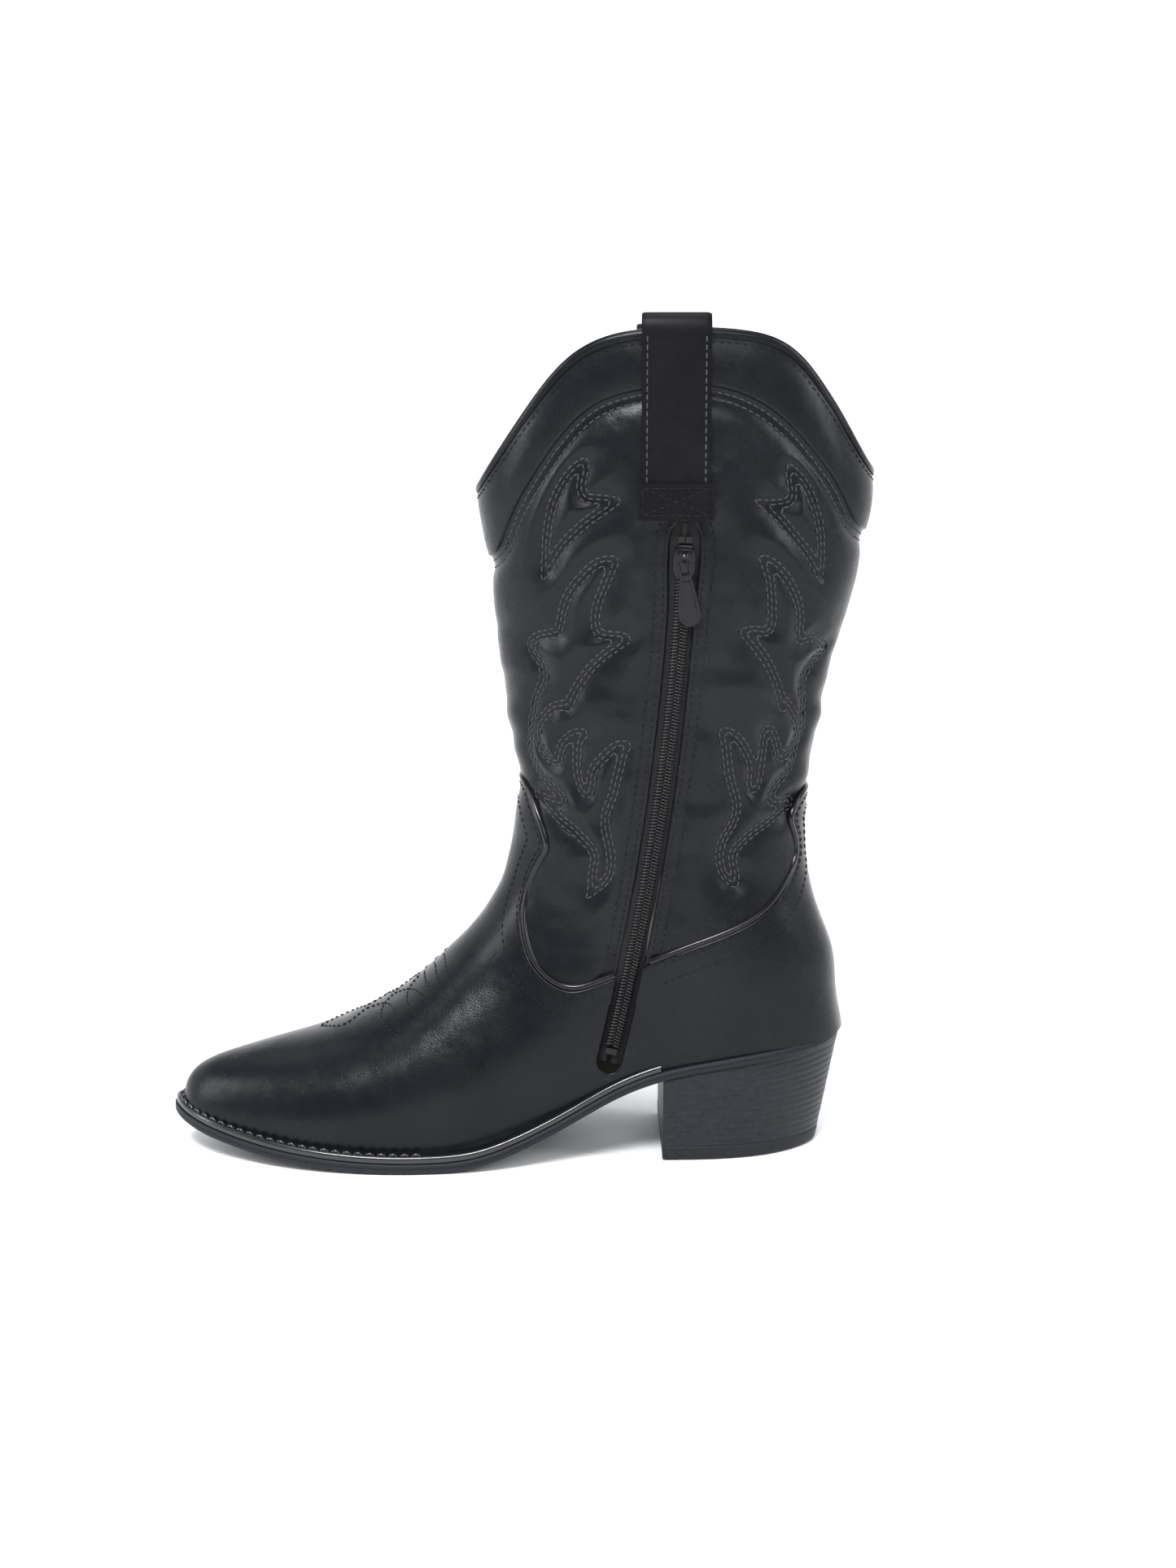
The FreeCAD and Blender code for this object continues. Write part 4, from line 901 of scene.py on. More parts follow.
def slot_outline(half, top, bottom):
    """Outline of the zip's opening, wider and rounded round the slider."""
    line = ZIP_LINE[(ZIP_LINE[:, 1] > bottom + 4) & (ZIP_LINE[:, 1] < top - 5)]
    across = np.gradient(line, axis=0)
    across = unit(np.stack([across[:, 1], -across[:, 0]], 1))
    wide = half + 0.8 * np.clip((line[:, 1] - top + 30) / 12, 0, 1)
    wide = wide[:, None]
    right, left = line + across * wide, line - across * wide
    angle = np.radians(np.linspace(15, 165, 9))
    end = (right[-1] + left[-1]) / 2
    reach = np.linalg.norm(right[-1] - left[-1]) / 2
    cap = end + np.stack([np.cos(angle) * reach, np.sin(angle) * (top - end[1])], 1)
    base = (right[0] + left[0]) / 2
    low = base - np.stack([np.cos(angle) * half, np.sin(angle) * (base[1] - bottom)], 1)
    return np.concatenate([right, cap, left[::-1], low])


FRONT_HALF = region(SEAM, [(-200, 345), (-200, -20)])
TOP_BAND = region(stroke(COLLAR_SEAM, 1.5), [(160, 400), (-160, 400)])
UNDER_EDGE = region(stroke(COLLAR_EDGE, 1.2), [(160, -80), (-160, -80)])
SLOT = slot_outline(4.9, SLOT_TOP, SLOT_BOTTOM)
OVER_FRONT = region(SHAFT_FRONT_LOW, [(160, 400), (-160, 400)])
OVER_BACK = region(SHAFT_BACK_LOW, [(160, 400), (-160, 400)])
OVER_SOLE = region(raised(FEATHER, 0.1), [(160, 400), (-160, 400)])
FOOT_SEAM = SEAM[SEAM[:, 1] < 79]
VAMP_OUTLINE = region(stroke(VAMP_TOP, 1.5), stroke(VAMP_TOP_LOW, 1.5), FOOT_SEAM[::-1],
                      [(-160, -60), (-160, 160)])
COUNTER_OUTLINE = region(FOOT_SEAM, stroke(COUNTER_TOP, 1.5), stroke(COUNTER_TOP_BACK, 1.5),
                         [(160, 152), (160, -60)])


def fields(face, *outlines, inner_only=()):
    """Columns of distance inside each outline; some count on the inner side alone."""
    columns = []
    for number, outline in enumerate(outlines):
        distance = signed(outline, face.data)
        if number in inner_only:
            distance = np.where(face.data[:, 1] > 6, -40, distance)
        columns.append(distance)
    return columns


def trimmed(data, tris, *keep):
    for column in keep:
        data, tris = cut(data, tris, column)
    return data, tris


def along_level(face, values, level, keep=None):
    """Lines on a face where values equal a level."""
    lines = contours(face.data, face.tris, values - level)
    if keep is not None:
        lines = [part for line in lines for part in split_where(line, keep(line))]
    return [line for line in lines if len(line) > 5]


# --------------------------------------------------------- the stitched motifs
def flat_lines(ring, distances):
    """Lines at distances inside a flat outline, as pairs of distance round and height."""
    low, high = ring.min(0) - 3, ring.max(0) + 3
    step = 0.6
    cols, rows = (np.ceil((high - low) / step)).astype(int)
    x, z = np.meshgrid(low[0] + np.arange(cols) * step, low[1] + np.arange(rows) * step)
    data = np.zeros((rows * cols, 8))
    data[:, 0], data[:, 2], data[:, 4] = x.ravel(), z.ravel(), -1
    quads = strip_faces(rows, cols)
    tris = np.concatenate([quads[:, :3], quads[:, [0, 2, 3]]])
    depth = signed(ring, data)
    return [evened(line, 1.2, smooth=3)[:, [0, 2]] for distance in distances
            for line in contours(data, tris, depth - distance) if len(line) > 12]


def rows_of(flat, from_back):
    """The same flat line on the inner and the outer side of the leg."""
    rows = []
    for side in (1, -1):
        place, normal = leg.find(flat[:, 0], flat[:, 1], 2, side, from_back)
        rows.append(np.concatenate([place, normal], 1))
    return rows


MOTIF_ROW_GAP = 1.6
motif_rows, motif_guides = [], []
for title, chains in EMBROIDERY.items():
    ring = ring_of(*chains)
    back = title.startswith("back")
    for flat in flat_lines(ring, (0, MOTIF_ROW_GAP, 2 * MOTIF_ROW_GAP)):
        motif_rows += rows_of(flat, back)
    for flat in flat_lines(ring, (MOTIF_ROW_GAP,)):
        motif_guides += rows_of(flat, back)

leg_seam, leg_band, leg_edge, leg_slot, leg_vamp, leg_counter, leg_front, leg_back = fields(
    leg, FRONT_HALF, TOP_BAND, UNDER_EDGE, SLOT, VAMP_OUTLINE, COUNTER_OUTLINE, OVER_FRONT,
    OVER_BACK, inner_only=(3,))
foot_vamp, foot_counter, foot_over, foot_slot = fields(
    foot, VAMP_OUTLINE, COUNTER_OUTLINE, OVER_SOLE, SLOT, inner_only=(3,))


# ------------------------------------------------- the padded look of the shaft
def nearest(guides, points):
    """Distance from each point to the nearest row of the guides."""
    spots = np.concatenate([evened(guide, 1.5, smooth=0)[:, :3] for guide in guides])
    tree = tree_of(spots)
    return np.array([tree.find(point)[2] for point in points])


SEWN_DOWN = -0.95
PUFF_HIGH = 2.35


def quilting(points, distance):
    """How far padded leather stands out between its rows of stitches."""
    puff = 1 - np.exp(-(np.clip(distance - 1.5, 0, None) / 4.6) ** 1.15)
    low_part = np.clip((points[:, 2] - 120) / 15, 0, 1) * np.clip((222 - points[:, 2]) / 20, 0, 1)
    soft = smooth_noise(points, (20, 20, 16), 3) * 0.45 + smooth_noise(points, (6, 6, 5), 4) * 0.13
    folds = smooth_noise(points, (26, 26, 7.5), 5) * 0.75 * low_part
    return SEWN_DOWN + PUFF_HIGH * puff + (soft + folds) * (0.35 + 0.65 * puff)


near = nearest(motif_guides, leg.data[:, :3])
near = np.minimum(near, np.clip(abs(leg_band + 3.2), 0, None) + 0.4)
near = np.minimum(near, np.where(leg_slot > -30, abs(-leg_slot - 3.6) + 0.4, 99))
near = np.where((leg_slot > -3.6) & (leg.data[:, 1] < 6), 1.0, near)
lift = quilting(leg.data[:, :3], near)
band_puff = np.clip(np.minimum(leg_band, leg_edge - 3.0), 0, 8)
band_lift = 0.75 * (1 - np.exp(-(band_puff / 4.0) ** 1.3)) \
    + smooth_noise(leg.data[:, :3], (12, 12, 10), 8) * 0.14

COLUMNS = np.stack([leg_seam, -leg_band, -leg_slot - 0.02, -leg_vamp + 8, -leg_counter + 8,
                    leg_edge, lift, band_lift, leg_band, -leg_seam, leg_front, leg_back], 1)
SHAFT_DATA = np.concatenate([leg.data, COLUMNS], 1)
SEAM_COL, BELOW_COL, SLOT_COL, VAMP_COL, COUNTER_COL, EDGE_COL, LIFT, BAND_LIFT, BAND_COL, \
    BACK_COL, LOW_FRONT, LOW_BACK = range(8, 20)


def rolled(data, tris, column, depths=(0.35, 0.9)):
    """Extra cuts close to an edge, so that its roll has points to bend at."""
    for depth in depths:
        data = data.copy()
        data[:, column] -= depth
        data, tris = cut(data, tris, column, both=True)
        data[:, column] += depth
    return data, tris


def shaft_panel(name, side_column, low_column, node_names):
    data, tris = trimmed(SHAFT_DATA, leg.tris, side_column, low_column, BELOW_COL, SLOT_COL,
                         VAMP_COL, COUNTER_COL)
    data, tris = rolled(data, tris, SLOT_COL)
    obj = panel(name, data, tris, SHAFT, 0.0, -2.2, 1.1, data[:, LIFT], SLOT_COL)
    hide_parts(*node_names)
    return obj


shaft_panel("shaft_front_quilted", SEAM_COL, LOW_FRONT, ("shaft_front", "padding_front"))
shaft_panel("shaft_back_quilted", BACK_COL, LOW_BACK, ("shaft_back", "padding_back"))
for title, column in (("front", SEAM_COL), ("back", BACK_COL)):
    data, tris = trimmed(SHAFT_DATA, leg.tris, column, BAND_COL, EDGE_COL)
    data = np.concatenate([data, np.minimum(data[:, BAND_COL], data[:, EDGE_COL])[:, None]], 1)
    data, tris = rolled(data, tris, 20)
    obj = panel("collar_band_" + title, data, tris, SHAFT, COLLAR_STEP, -2.2, 1.0,
                data[:, BAND_LIFT], 20)
    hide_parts("collar_" + title)


# ------------------------------------------------------------- vamp and counter
foot_soft = smooth_noise(foot.data[:, :3], (16, 16, 14), 11) * 0.14 \
    + smooth_noise(foot.data[:, :3], (5, 5, 5), 12) * 0.04
for title, field in (("vamp", foot_vamp), ("counter", foot_counter)):
    inside_edge = np.where(foot.data[:, 2] < 66, np.where(foot_slot > -12, -foot_slot, 9), field)
    more = np.stack([foot_over, field, -foot_slot - 0.02, np.minimum(inside_edge, 9), foot_soft], 1)
    data, tris = trimmed(np.concatenate([foot.data, more], 1), foot.tris, 8, 9, 10)
    data, tris = rolled(data, tris, 11)
    obj = panel(title + "_leather", data, tris, VAMP, FOOT_LEATHER, GAP, 1.0, data[:, 12], 11)
    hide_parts(title)


# ------------------------------------------------------------------ the stitches
def thread_piece(name, lines, height, material, slot_name, **sizes):
    """One piece of all the stitches along some lines."""
    points, faces = stitches([line for line in lines if len(line) > 4], height, **sizes)
    return mesh_object(name, points, faces, material, sharp=0)


def height_over(face, values):
    """Height of the leather above its face, looked up at any places."""
    tree = tree_of(face.data[::2, :3])
    return lambda places: np.array([values[::2][tree.find(p)[1]] for p in places])


over_quilt = height_over(leg, lift)
half = len(motif_rows) // 2
thread_piece("shaft_stitches_front", motif_rows[:half], over_quilt, THREAD, "thread", sides=4)
thread_piece("shaft_stitches_back", motif_rows[half:], over_quilt, THREAD, "thread", sides=4)


def clear_slot(line):
    """Where a row of stitches is clear of the top of the zip."""
    return ~((line[:, 1] < 6) & (abs(line[:, 0] - 66) < 12) & (line[:, 2] < 264))


seam_rows = [row for level in (-1.8, -4.4) for row in along_level(leg, leg_band, level, clear_slot)]
thread_piece("collar_seam_stitches", seam_rows, over_quilt, THREAD, "thread", sides=4)
edge_rows = along_level(leg, leg_edge, 4.2)
over_band = height_over(leg, band_lift + COLLAR_STEP)
thread_piece("collar_edge_stitches", edge_rows, over_band, DARK_THREAD, "thread", sides=4)
beside = [line for distance in (-2.2, -5.4)
          for line in along_level(leg, leg_slot, distance, lambda l: l[:, 2] > 84)]
thread_piece("zip_edge_stitches", beside, over_quilt, DARK_THREAD, "thread", sides=4)



def clear_zip_foot(line):
    """Where a row of the foot's stitches is above the welt and clear of the zip."""
    beside_zip = (line[:, 1] < 0) & (abs(line[:, 0] - 42) < 16) & (line[:, 2] < 90)
    return (line[:, 2] > 60) & ~beside_zip


over_foot = height_over(foot, foot_soft + FOOT_LEATHER)
foot_rows = []
for field in (foot_vamp, foot_counter):
    for distance in (2.0, 9.0):
        foot_rows += along_level(foot, field, distance, clear_zip_foot)
thread_piece("foot_stitches", foot_rows, over_foot, DARK_THREAD, "thread", sides=4)
strokes = []
for chain in VAMP_STROKES:
    flat = stroke(chain, 1.2)
    for side in (1, -1):
        place, normal = foot.find(flat[:, 1], flat[:, 0], 0, side)
        strokes.append(np.concatenate([place, normal], 1))
thread_piece("vamp_stitches", strokes, over_foot, DARK_THREAD, "thread", sides=4,
             pitch=2.6, long=2.0, radius=0.3)

# ------------------------------------------------------------- piping and edges
def piped(line):
    """Where the edge of the vamp or counter has piping: not at the zip or the outer seam."""
    seam_x = np.interp(line[:, 2], FOOT_SEAM[:, 1], FOOT_SEAM[:, 0])
    at_zip = (line[:, 1] < 6) & (abs(line[:, 0] - 46.5) < 6.5)
    at_seam = (line[:, 1] > 0) & (line[:, 2] < 84) & (abs(line[:, 0] - seam_x) < 2.2)
    return (line[:, 2] > 66) & ~at_zip & ~at_seam


for title, field in (("vamp", foot_vamp), ("counter", foot_counter)):
    parts = [tube(evened(line, 1.0, smooth=9), 1.3, sides=12, squash=0.9, raise_by=1.15)
             for line in along_level(foot, field, -1.0, piped)]
    obj = mesh_object(title + "_piping_cord", *joined(parts), PIPING, sharp=0)
    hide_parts(title + "_piping")

# The folded edge round the top of the collar
top_line = max(along_level(leg, leg_edge, 0.0), key=len)
top_line = evened(top_line, 1.2, smooth=3)[:-1]
section = [(-2.6, 1.25), (-1.6, 1.45), (-0.6, 1.45), (0.3, 1.1), (0.95, 0.3), (1.15, -0.9),
           (1.0, -2.4), (0.5, -3.4), (-0.6, -3.9), (-2.6, -3.8)]
across = unit(np.roll(top_line[:, :3], -1, 0) - np.roll(top_line[:, :3], 1, 0))
upward = unit(np.cross(across, top_line[:, 3:6]))
upward *= np.sign(upward[:, 2:3])
points = np.stack([top_line[:, :3] + upward * a + top_line[:, 3:6] * b for a, b in section], 1)
quads = strip_faces(len(top_line), len(section), wrap_rows=True)
binding = mesh_object("collar_edge_fold", points.reshape(-1, 3), quads, SHAFT, sharp=0)
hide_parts("collar_binding")

# Lining of the shaft, a soft sleeve from the collar down to the foot
sleeve = Face(*((220, 2.2, 130, 486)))
under_edge = signed(UNDER_EDGE, sleeve.data) - 0.6
over_split = signed(region(LINING_SPLIT, [(160, 360), (-160, 360)]), sleeve.data)
rucks = smooth_noise(sleeve.data[:, :3], (18, 18, 12), 21) * 0.3
rows = np.concatenate([sleeve.data, np.stack([under_edge, over_split, rucks], 1)], 1)
rows, tris = trimmed(rows, sleeve.tris, 8, 9)
inner = rows[:, :3] + rows[:, 3:6] * (LINING_IN + 0.15 + rows[:, 10] * 0.5)[:, None]
outer = rows[:, :3] + rows[:, 3:6] * LINING_OUT
rim = edge_loops(tris)
walls = np.stack([rim[:, 1], rim[:, 0], rim[:, 0] + len(outer), rim[:, 1] + len(outer)], 1)
lining = mesh_object("shaft_lining", np.concatenate([outer, inner]),
                     [tris, tris[:, ::-1] + len(outer), walls], LINING)
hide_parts("lining_front", "lining_back")


# ----------------------------------------------------- side strip and pull straps
def band_on(face, centre_line, side, half, thick, lift_by, name, material, edge=0.45):
    """A strip of leather laid along a line on the face, with softened edges."""
    place, normal = on_face(face, centre_line[:, 0], centre_line[:, 1], side)
    along = unit(np.gradient(place, axis=0))
    across = unit(np.cross(along, normal))
    profile = [(-half, -0.3), (-half, thick - edge), (-half + edge * 0.4, thick - edge * 0.3),
               (-half + edge * 1.3, thick), (0, thick + 0.12), (half - edge * 1.3, thick),
               (half - edge * 0.4, thick - edge * 0.3), (half, thick - edge), (half, -0.3)]
    points = np.stack([place + across * a + normal * (b + lift_by) for a, b in profile], 1)
    quads = strip_faces(len(place), len(profile))
    return mesh_object(name, points.reshape(-1, 3), quads[:, ::-1], material), place, normal, across


line = np.concatenate([SEAM[(SEAM[:, 1] > 84) & (SEAM[:, 1] < 262)], [(66.7, 270)]])
line = evened_flat(line, 2.0)
strip_lift = over_quilt(on_face(leg, line[:, 0], line[:, 1], 1)[0])[:, None] - 0.15
strip, place, normal, across = band_on(leg, line, 1, SIDE_STRIP_HALF, 0.95, strip_lift,
                                       "lateral_strip", STRAP)
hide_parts("lateral_side_strip")
rows = [np.concatenate([place + across * s + normal * (strip_lift + 1.0), normal], 1)
        for s in (-2.7, 2.7)]
thread_piece("lateral_strip_stitches", rows, 0.0, DARK_THREAD, "thread", sides=4)


def strap_surface(side, half_wide, path, count=25):
    """Rows of places across a strap that follow the leg's curve under it."""
    middle = (STRAP_FRONT + STRAP_BACK) / 2
    xs = middle + np.linspace(-half_wide, half_wide, count)
    z = np.array([p[1] for p in path])
    out = np.array([p[0] for p in path])
    bend = []
    for x in xs:
        face_y = on_face(leg, np.full(len(z), x), np.clip(z, 250, 322), side)[0][:, 1]
        middle_y = on_face(leg, np.full(len(z), middle), np.clip(z, 250, 322), side)[0][:, 1]
        bend.append(abs(face_y) - abs(middle_y))
    y = out[:, None] + np.array(bend).T
    grid = np.stack([np.broadcast_to(xs, y.shape), side * y, np.broadcast_to(z[:, None], y.shape)], 2)
    return grid


def thickened(grid, thick, edge=0.4):
    """A closed sheet about a grid of places, with rounded side edges."""
    along = unit(np.gradient(grid, axis=0))
    across = unit(np.gradient(grid, axis=1))
    normal = unit(np.cross(along, across))
    half = thick / 2
    cols = grid.shape[1]
    shares = np.minimum(np.arange(cols), np.arange(cols)[::-1])
    width = np.linalg.norm(grid[:, -1] - grid[:, 0], axis=1).mean() / (cols - 1)
    inset = np.clip(1 - shares * width / 1.4, 0, 1)
    depth = half - edge * inset ** 2
    top = grid + normal * depth[None, :, None]
    low = grid - normal * depth[None, :, None]
    ring = np.concatenate([top, low[:, ::-1]], 1)
    rows, size = ring.shape[:2]
    quads = strip_faces(rows, size, wrap_cols=True)
    first, last = np.arange(size), (rows - 1) * size + np.arange(size)
    return ring.reshape(-1, 3), [quads, first[None, ::-1], last[None, :]]


def pull_strap(name, side):
    middle = (STRAP_FRONT + STRAP_BACK) / 2
    z = np.array([STRAP_LOW_OUT, 262, 268, 274, 280, 286, 292, 298, 304, 310, 315, 320, 324, 327])
    face_y = abs(on_face(leg, np.full(len(z), middle), np.clip(z, 250, 322), side)[0][:, 1])
    outer = face_y + 2.7 + 0.25 * np.sin((z - 258) / 9.0)
    inner_z = np.array([327, 324, 320, 314, 306, 297, 290, STRAP_LOW_IN])
    inner = abs(on_face(leg, np.full(8, middle), np.clip(inner_z, 250, 322), side)[0][:, 1]) - 5.0
    angle = np.radians(np.linspace(15, 165, 11))
    centre, reach = (outer[-1] + inner[0]) / 2, (outer[-1] - inner[0]) / 2
    loop = [(centre + math.cos(a) * reach, 327 + math.sin(a) * (STRAP_TOP - 327 - 0.8))
            for a in angle]
    path = list(zip(outer, z)) + loop + list(zip(inner, inner_z))
    path = stroke(path, 1.3)
    grid = strap_surface(side, (STRAP_BACK - STRAP_FRONT) / 2, path)
    grid = grid + smooth_noise(grid, (9, 9, 9), 31)[..., None] * [0, 0.12 * side, 0]
    points, faces = thickened(grid if side < 0 else grid[:, ::-1], STRAP_THICK)
    obj = mesh_object("pull_strap_" + name + "_fold", points, faces, STRAP)
    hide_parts("pull_strap_" + name)

    outer_rows = int(np.argmax(path[:, 1] > 326))
    face_out = np.broadcast_to([0, side, 0], grid[:outer_rows, 0].shape)
    lines = []
    for place in (0.085, 0.915):
        column = place * (grid.shape[1] - 1)
        low = int(column)
        part = column - low
        row = grid[:outer_rows, low] * (1 - part) + grid[:outer_rows, low + 1] * part
        lean = unit(face_out + np.array([(place - 0.5) * 0.6, 0, 0]))
        lines.append(np.concatenate([row + lean * (STRAP_THICK / 2), lean], 1))
    thread_piece("pull_strap_" + name + "_stitches", lines, 0.02, THREAD, "thread", sides=4)

    patch_z = np.linspace(PATCH_LOW, PATCH_HIGH, 9)
    patch_y = np.interp(patch_z, path[:outer_rows, 1], path[:outer_rows, 0])
    patch_path = list(zip(patch_y + STRAP_THICK / 2 + PATCH_THICK / 2, patch_z))
    half_wide = (STRAP_BACK - STRAP_FRONT) / 2 + PATCH_SIDE
    grid = strap_surface(side, half_wide, patch_path, 29)
    points, faces = thickened(grid if side < 0 else grid[:, ::-1], PATCH_THICK, 0.5)
    obj = mesh_object("strap_patch_" + name + "_leather", points, faces, STRAP)
    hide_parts("strap_patch_" + name)
    inset = 1.9 / (2 * half_wide)
    lines = []
    corners = [(inset, 0.14), (1 - inset, 0.14), (1 - inset, 0.86), (inset, 0.86), (inset, 0.14),
               (1 - inset, 0.86), (1 - inset, 0.14), (inset, 0.86)]
    for (a, b), (c, d) in zip(corners, corners[1:]):
        share = np.linspace(0, 1, 24)[:, None]
        spots = np.array([[a, b]]) * (1 - share) + np.array([[c, d]]) * share
        col, row = spots[:, 0] * 28, spots[:, 1] * 8
        i, j = np.clip(row.astype(int), 0, 7), np.clip(col.astype(int), 0, 27)
        f, g = (row - i)[:, None], (col - j)[:, None]
        here = (grid[i, j] * (1 - f) * (1 - g) + grid[i + 1, j] * f * (1 - g)
                + grid[i, j + 1] * (1 - f) * g + grid[i + 1, j + 1] * f * g)
        lean = np.broadcast_to([0.0, side, 0.0], here.shape)
        lines.append(np.concatenate([here + lean * (PATCH_THICK / 2), lean], 1))
    thread_piece("strap_patch_" + name + "_stitches", lines, 0.02, DARK_THREAD, "thread", sides=4)


pull_strap("medial", -1)
pull_strap("lateral", 1)

# --------------------------------------------------------------------- the zip
COIL_PITCH = 1.27
COIL_END = 13.05
COIL_REACH = 1.55
COIL_SWING = 1.35
COIL_HIGH = 0.62
COIL_WIRE = 0.31
pitch_angle = math.degrees(COIL_PITCH / np.linalg.norm(ARM))


def coil(name, sign, from_angle, to_angle, phase):
    """One side of the zip: a wire wound in loops whose heads mesh with the other side."""
    turns = int((to_angle - from_angle) / pitch_angle)
    t = np.arange(turns * 12 + 1) / 12 + phase
    a = 2 * np.pi * t
    reach = np.cos(a)
    side = sign * (COIL_REACH - COIL_SWING * np.sign(reach) * abs(reach) ** 0.8)
    out = 0.05 + COIL_HIGH * np.sin(a) + 0.1 * (reach > 0.8)
    run = from_angle + (t - phase) * pitch_angle
    place = on_track(side, 0, out, run)
    line = np.concatenate([place, track_axes(run)[3]], 1)
    points, faces = tube(line, COIL_WIRE, sides=5)
    whole = np.linspace(from_angle, to_angle, 90)
    core = np.concatenate([on_track(sign * 1.9, 0, 0.0, whole), track_axes(whole)[3]], 1)
    more = tube(core, 0.3, sides=6)
    return mesh_object(name, *joined([(points, faces), more]), COIL, sharp=0)


for title, sign, phase in (("front", -1, 0.0), ("back", 1, 0.5)):
    obj = coil("zip_coil_" + title + "_wire", sign, -0.15, COIL_END, phase)
    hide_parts("zip_coil_" + title)
    angle = np.linspace(-1.1, 13.5, 150)
    columns = []
    for across, depth in ((1.0, -0.75), (2.2, -0.72), (3.0, -0.78), (3.4, -0.95), (4.6, -1.3),
                          (6.5, -1.75), (9.0, -2.3), (11.5, -3.0)):
        columns.append(on_track(sign * across, 0, depth, angle))
    grid = np.stack(columns, 1)
    quads = strip_faces(*grid.shape[:2])
    low = grid - track_axes(angle)[3][:, None] * 0.4
    count = grid.shape[0] * grid.shape[1]
    tape = mesh_object("zip_tape_" + title + "_cloth",
                       np.concatenate([grid.reshape(-1, 3), low.reshape(-1, 3)]),
                       [quads if sign > 0 else quads[:, ::-1],
                        (quads[:, ::-1] if sign > 0 else quads) + count], TAPE)
    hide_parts("zip_tape_" + title)


def rounded_slab(outline, low, high, bevel):
    """Points and faces of a plate with softened edges, drawn in side and up."""
    outline = np.asarray(outline, float)
    middle = outline.mean(0)
    rings = []
    for inset, out in ((bevel, low), (bevel * 0.3, low + bevel * 0.3), (0, low + bevel),
                       (0, high - bevel), (bevel * 0.3, high - bevel * 0.3), (bevel, high),
                       (bevel * 3, high + bevel * 0.12)):
        reach = np.linalg.norm(outline - middle, axis=1, keepdims=True)
        ring = middle + (outline - middle) * (1 - inset / reach)
        rings.append(on_track(ring[:, 0], ring[:, 1], out, 0.0))
    points = np.concatenate(rings)
    size = len(outline)
    quads = strip_faces(len(rings), size, wrap_cols=True)
    caps = [np.arange(size)[None, ::-1], (len(rings) - 1) * size + np.arange(size)[None, :]]
    return points, [quads] + caps


def rounded_outline(corners, radius, steps=5):
    """A flat outline with its corners rounded."""
    corners = np.asarray(corners, float)
    points = []
    for before, here, after in zip(np.roll(corners, 1, 0), corners, np.roll(corners, -1, 0)):
        a, b = unit(before - here), unit(after - here)
        reach = min(radius, np.linalg.norm(before - here) / 2.05, np.linalg.norm(after - here) / 2.05)
        for t in np.linspace(0, 1, steps):
            points.append((1 - t) ** 2 * (here + a * reach) + 2 * t * (1 - t) * here
                          + t ** 2 * (here + b * reach))
    return np.array(points)


def merged(pieces_list):
    """Several (points, lists of faces) as one, with faces of one size together."""
    points, faces, start = [], [], 0
    for p, parts in pieces_list:
        points.append(p)
        faces += [f + start for f in parts]
        start += len(p)
    by_size = {}
    for f in faces:
        by_size.setdefault(f.shape[1], []).append(f)
    return np.concatenate(points), [np.concatenate(f) for f in by_size.values()]


body_plan = rounded_outline([(-3.0, SLIDER_DOWN), (3.0, SLIDER_DOWN), (4.3, -3.6), (4.3, 3.2),
                             (3.2, SLIDER_UP), (-3.2, SLIDER_UP), (-4.3, 3.2), (-4.3, -3.6)], 1.6)
shoulder = rounded_outline([(-2.1, -5.6), (2.1, -5.6), (2.9, -2.0), (2.9, 2.6), (2.0, 4.6),
                            (-2.0, 4.6), (-2.9, 2.6), (-2.9, -2.0)], 1.2)
bridge = stroke([(-5.0, 1.7), (-4.6, 3.2), (-3.3, 4.55), (-1.1, 4.95), (1.4, 4.6), (3.0, 3.6),
                 (3.9, 1.7)], 0.4)
ride = unit(np.gradient(bridge, axis=0))
lines = []
for wide, thick in ((-1.05, 0.25), (-0.8, 0.5), (0, 0.62), (0.8, 0.5), (1.05, 0.25),
                    (1.05, -0.25), (0.8, -0.45), (0, -0.5), (-0.8, -0.45), (-1.05, -0.25)):
    lines.append(on_track(wide, bridge[:, 0] - ride[:, 1] * thick,
                          bridge[:, 1] + ride[:, 0] * thick, np.zeros(len(bridge))))
hoop = np.stack(lines, 1)
hoop_faces = strip_faces(hoop.shape[0], hoop.shape[1], wrap_cols=True)
slider = mesh_object("zip_slider_body", *merged([
    rounded_slab(body_plan, -0.45, 2.0, 0.55), rounded_slab(shoulder, 1.8, 2.7, 0.4),
    rounded_slab(body_plan * 0.97, -2.4, -1.7, 0.2),
    rounded_slab(rounded_outline([(-1, 3.4), (1, 3.4), (1, 5.8), (-1, 5.8)], 0.4), -2.0, 1.0, 0.1),
    (hoop.reshape(-1, 3), [hoop_faces])]), METAL, body="slider")
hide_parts("zip_slider")

tilt = math.radians(PULLER_TILT)


def puller_outline(points):
    """Puller plan turned by its tilt and moved to its hinge, as side and up."""
    points = np.asarray(points, float)
    side = points[:, 0] * math.cos(tilt) - points[:, 1] * math.sin(tilt)
    up = points[:, 0] * math.sin(tilt) + points[:, 1] * math.cos(tilt)
    return np.stack([side, up + PULLER_AXIS_UP], 1)


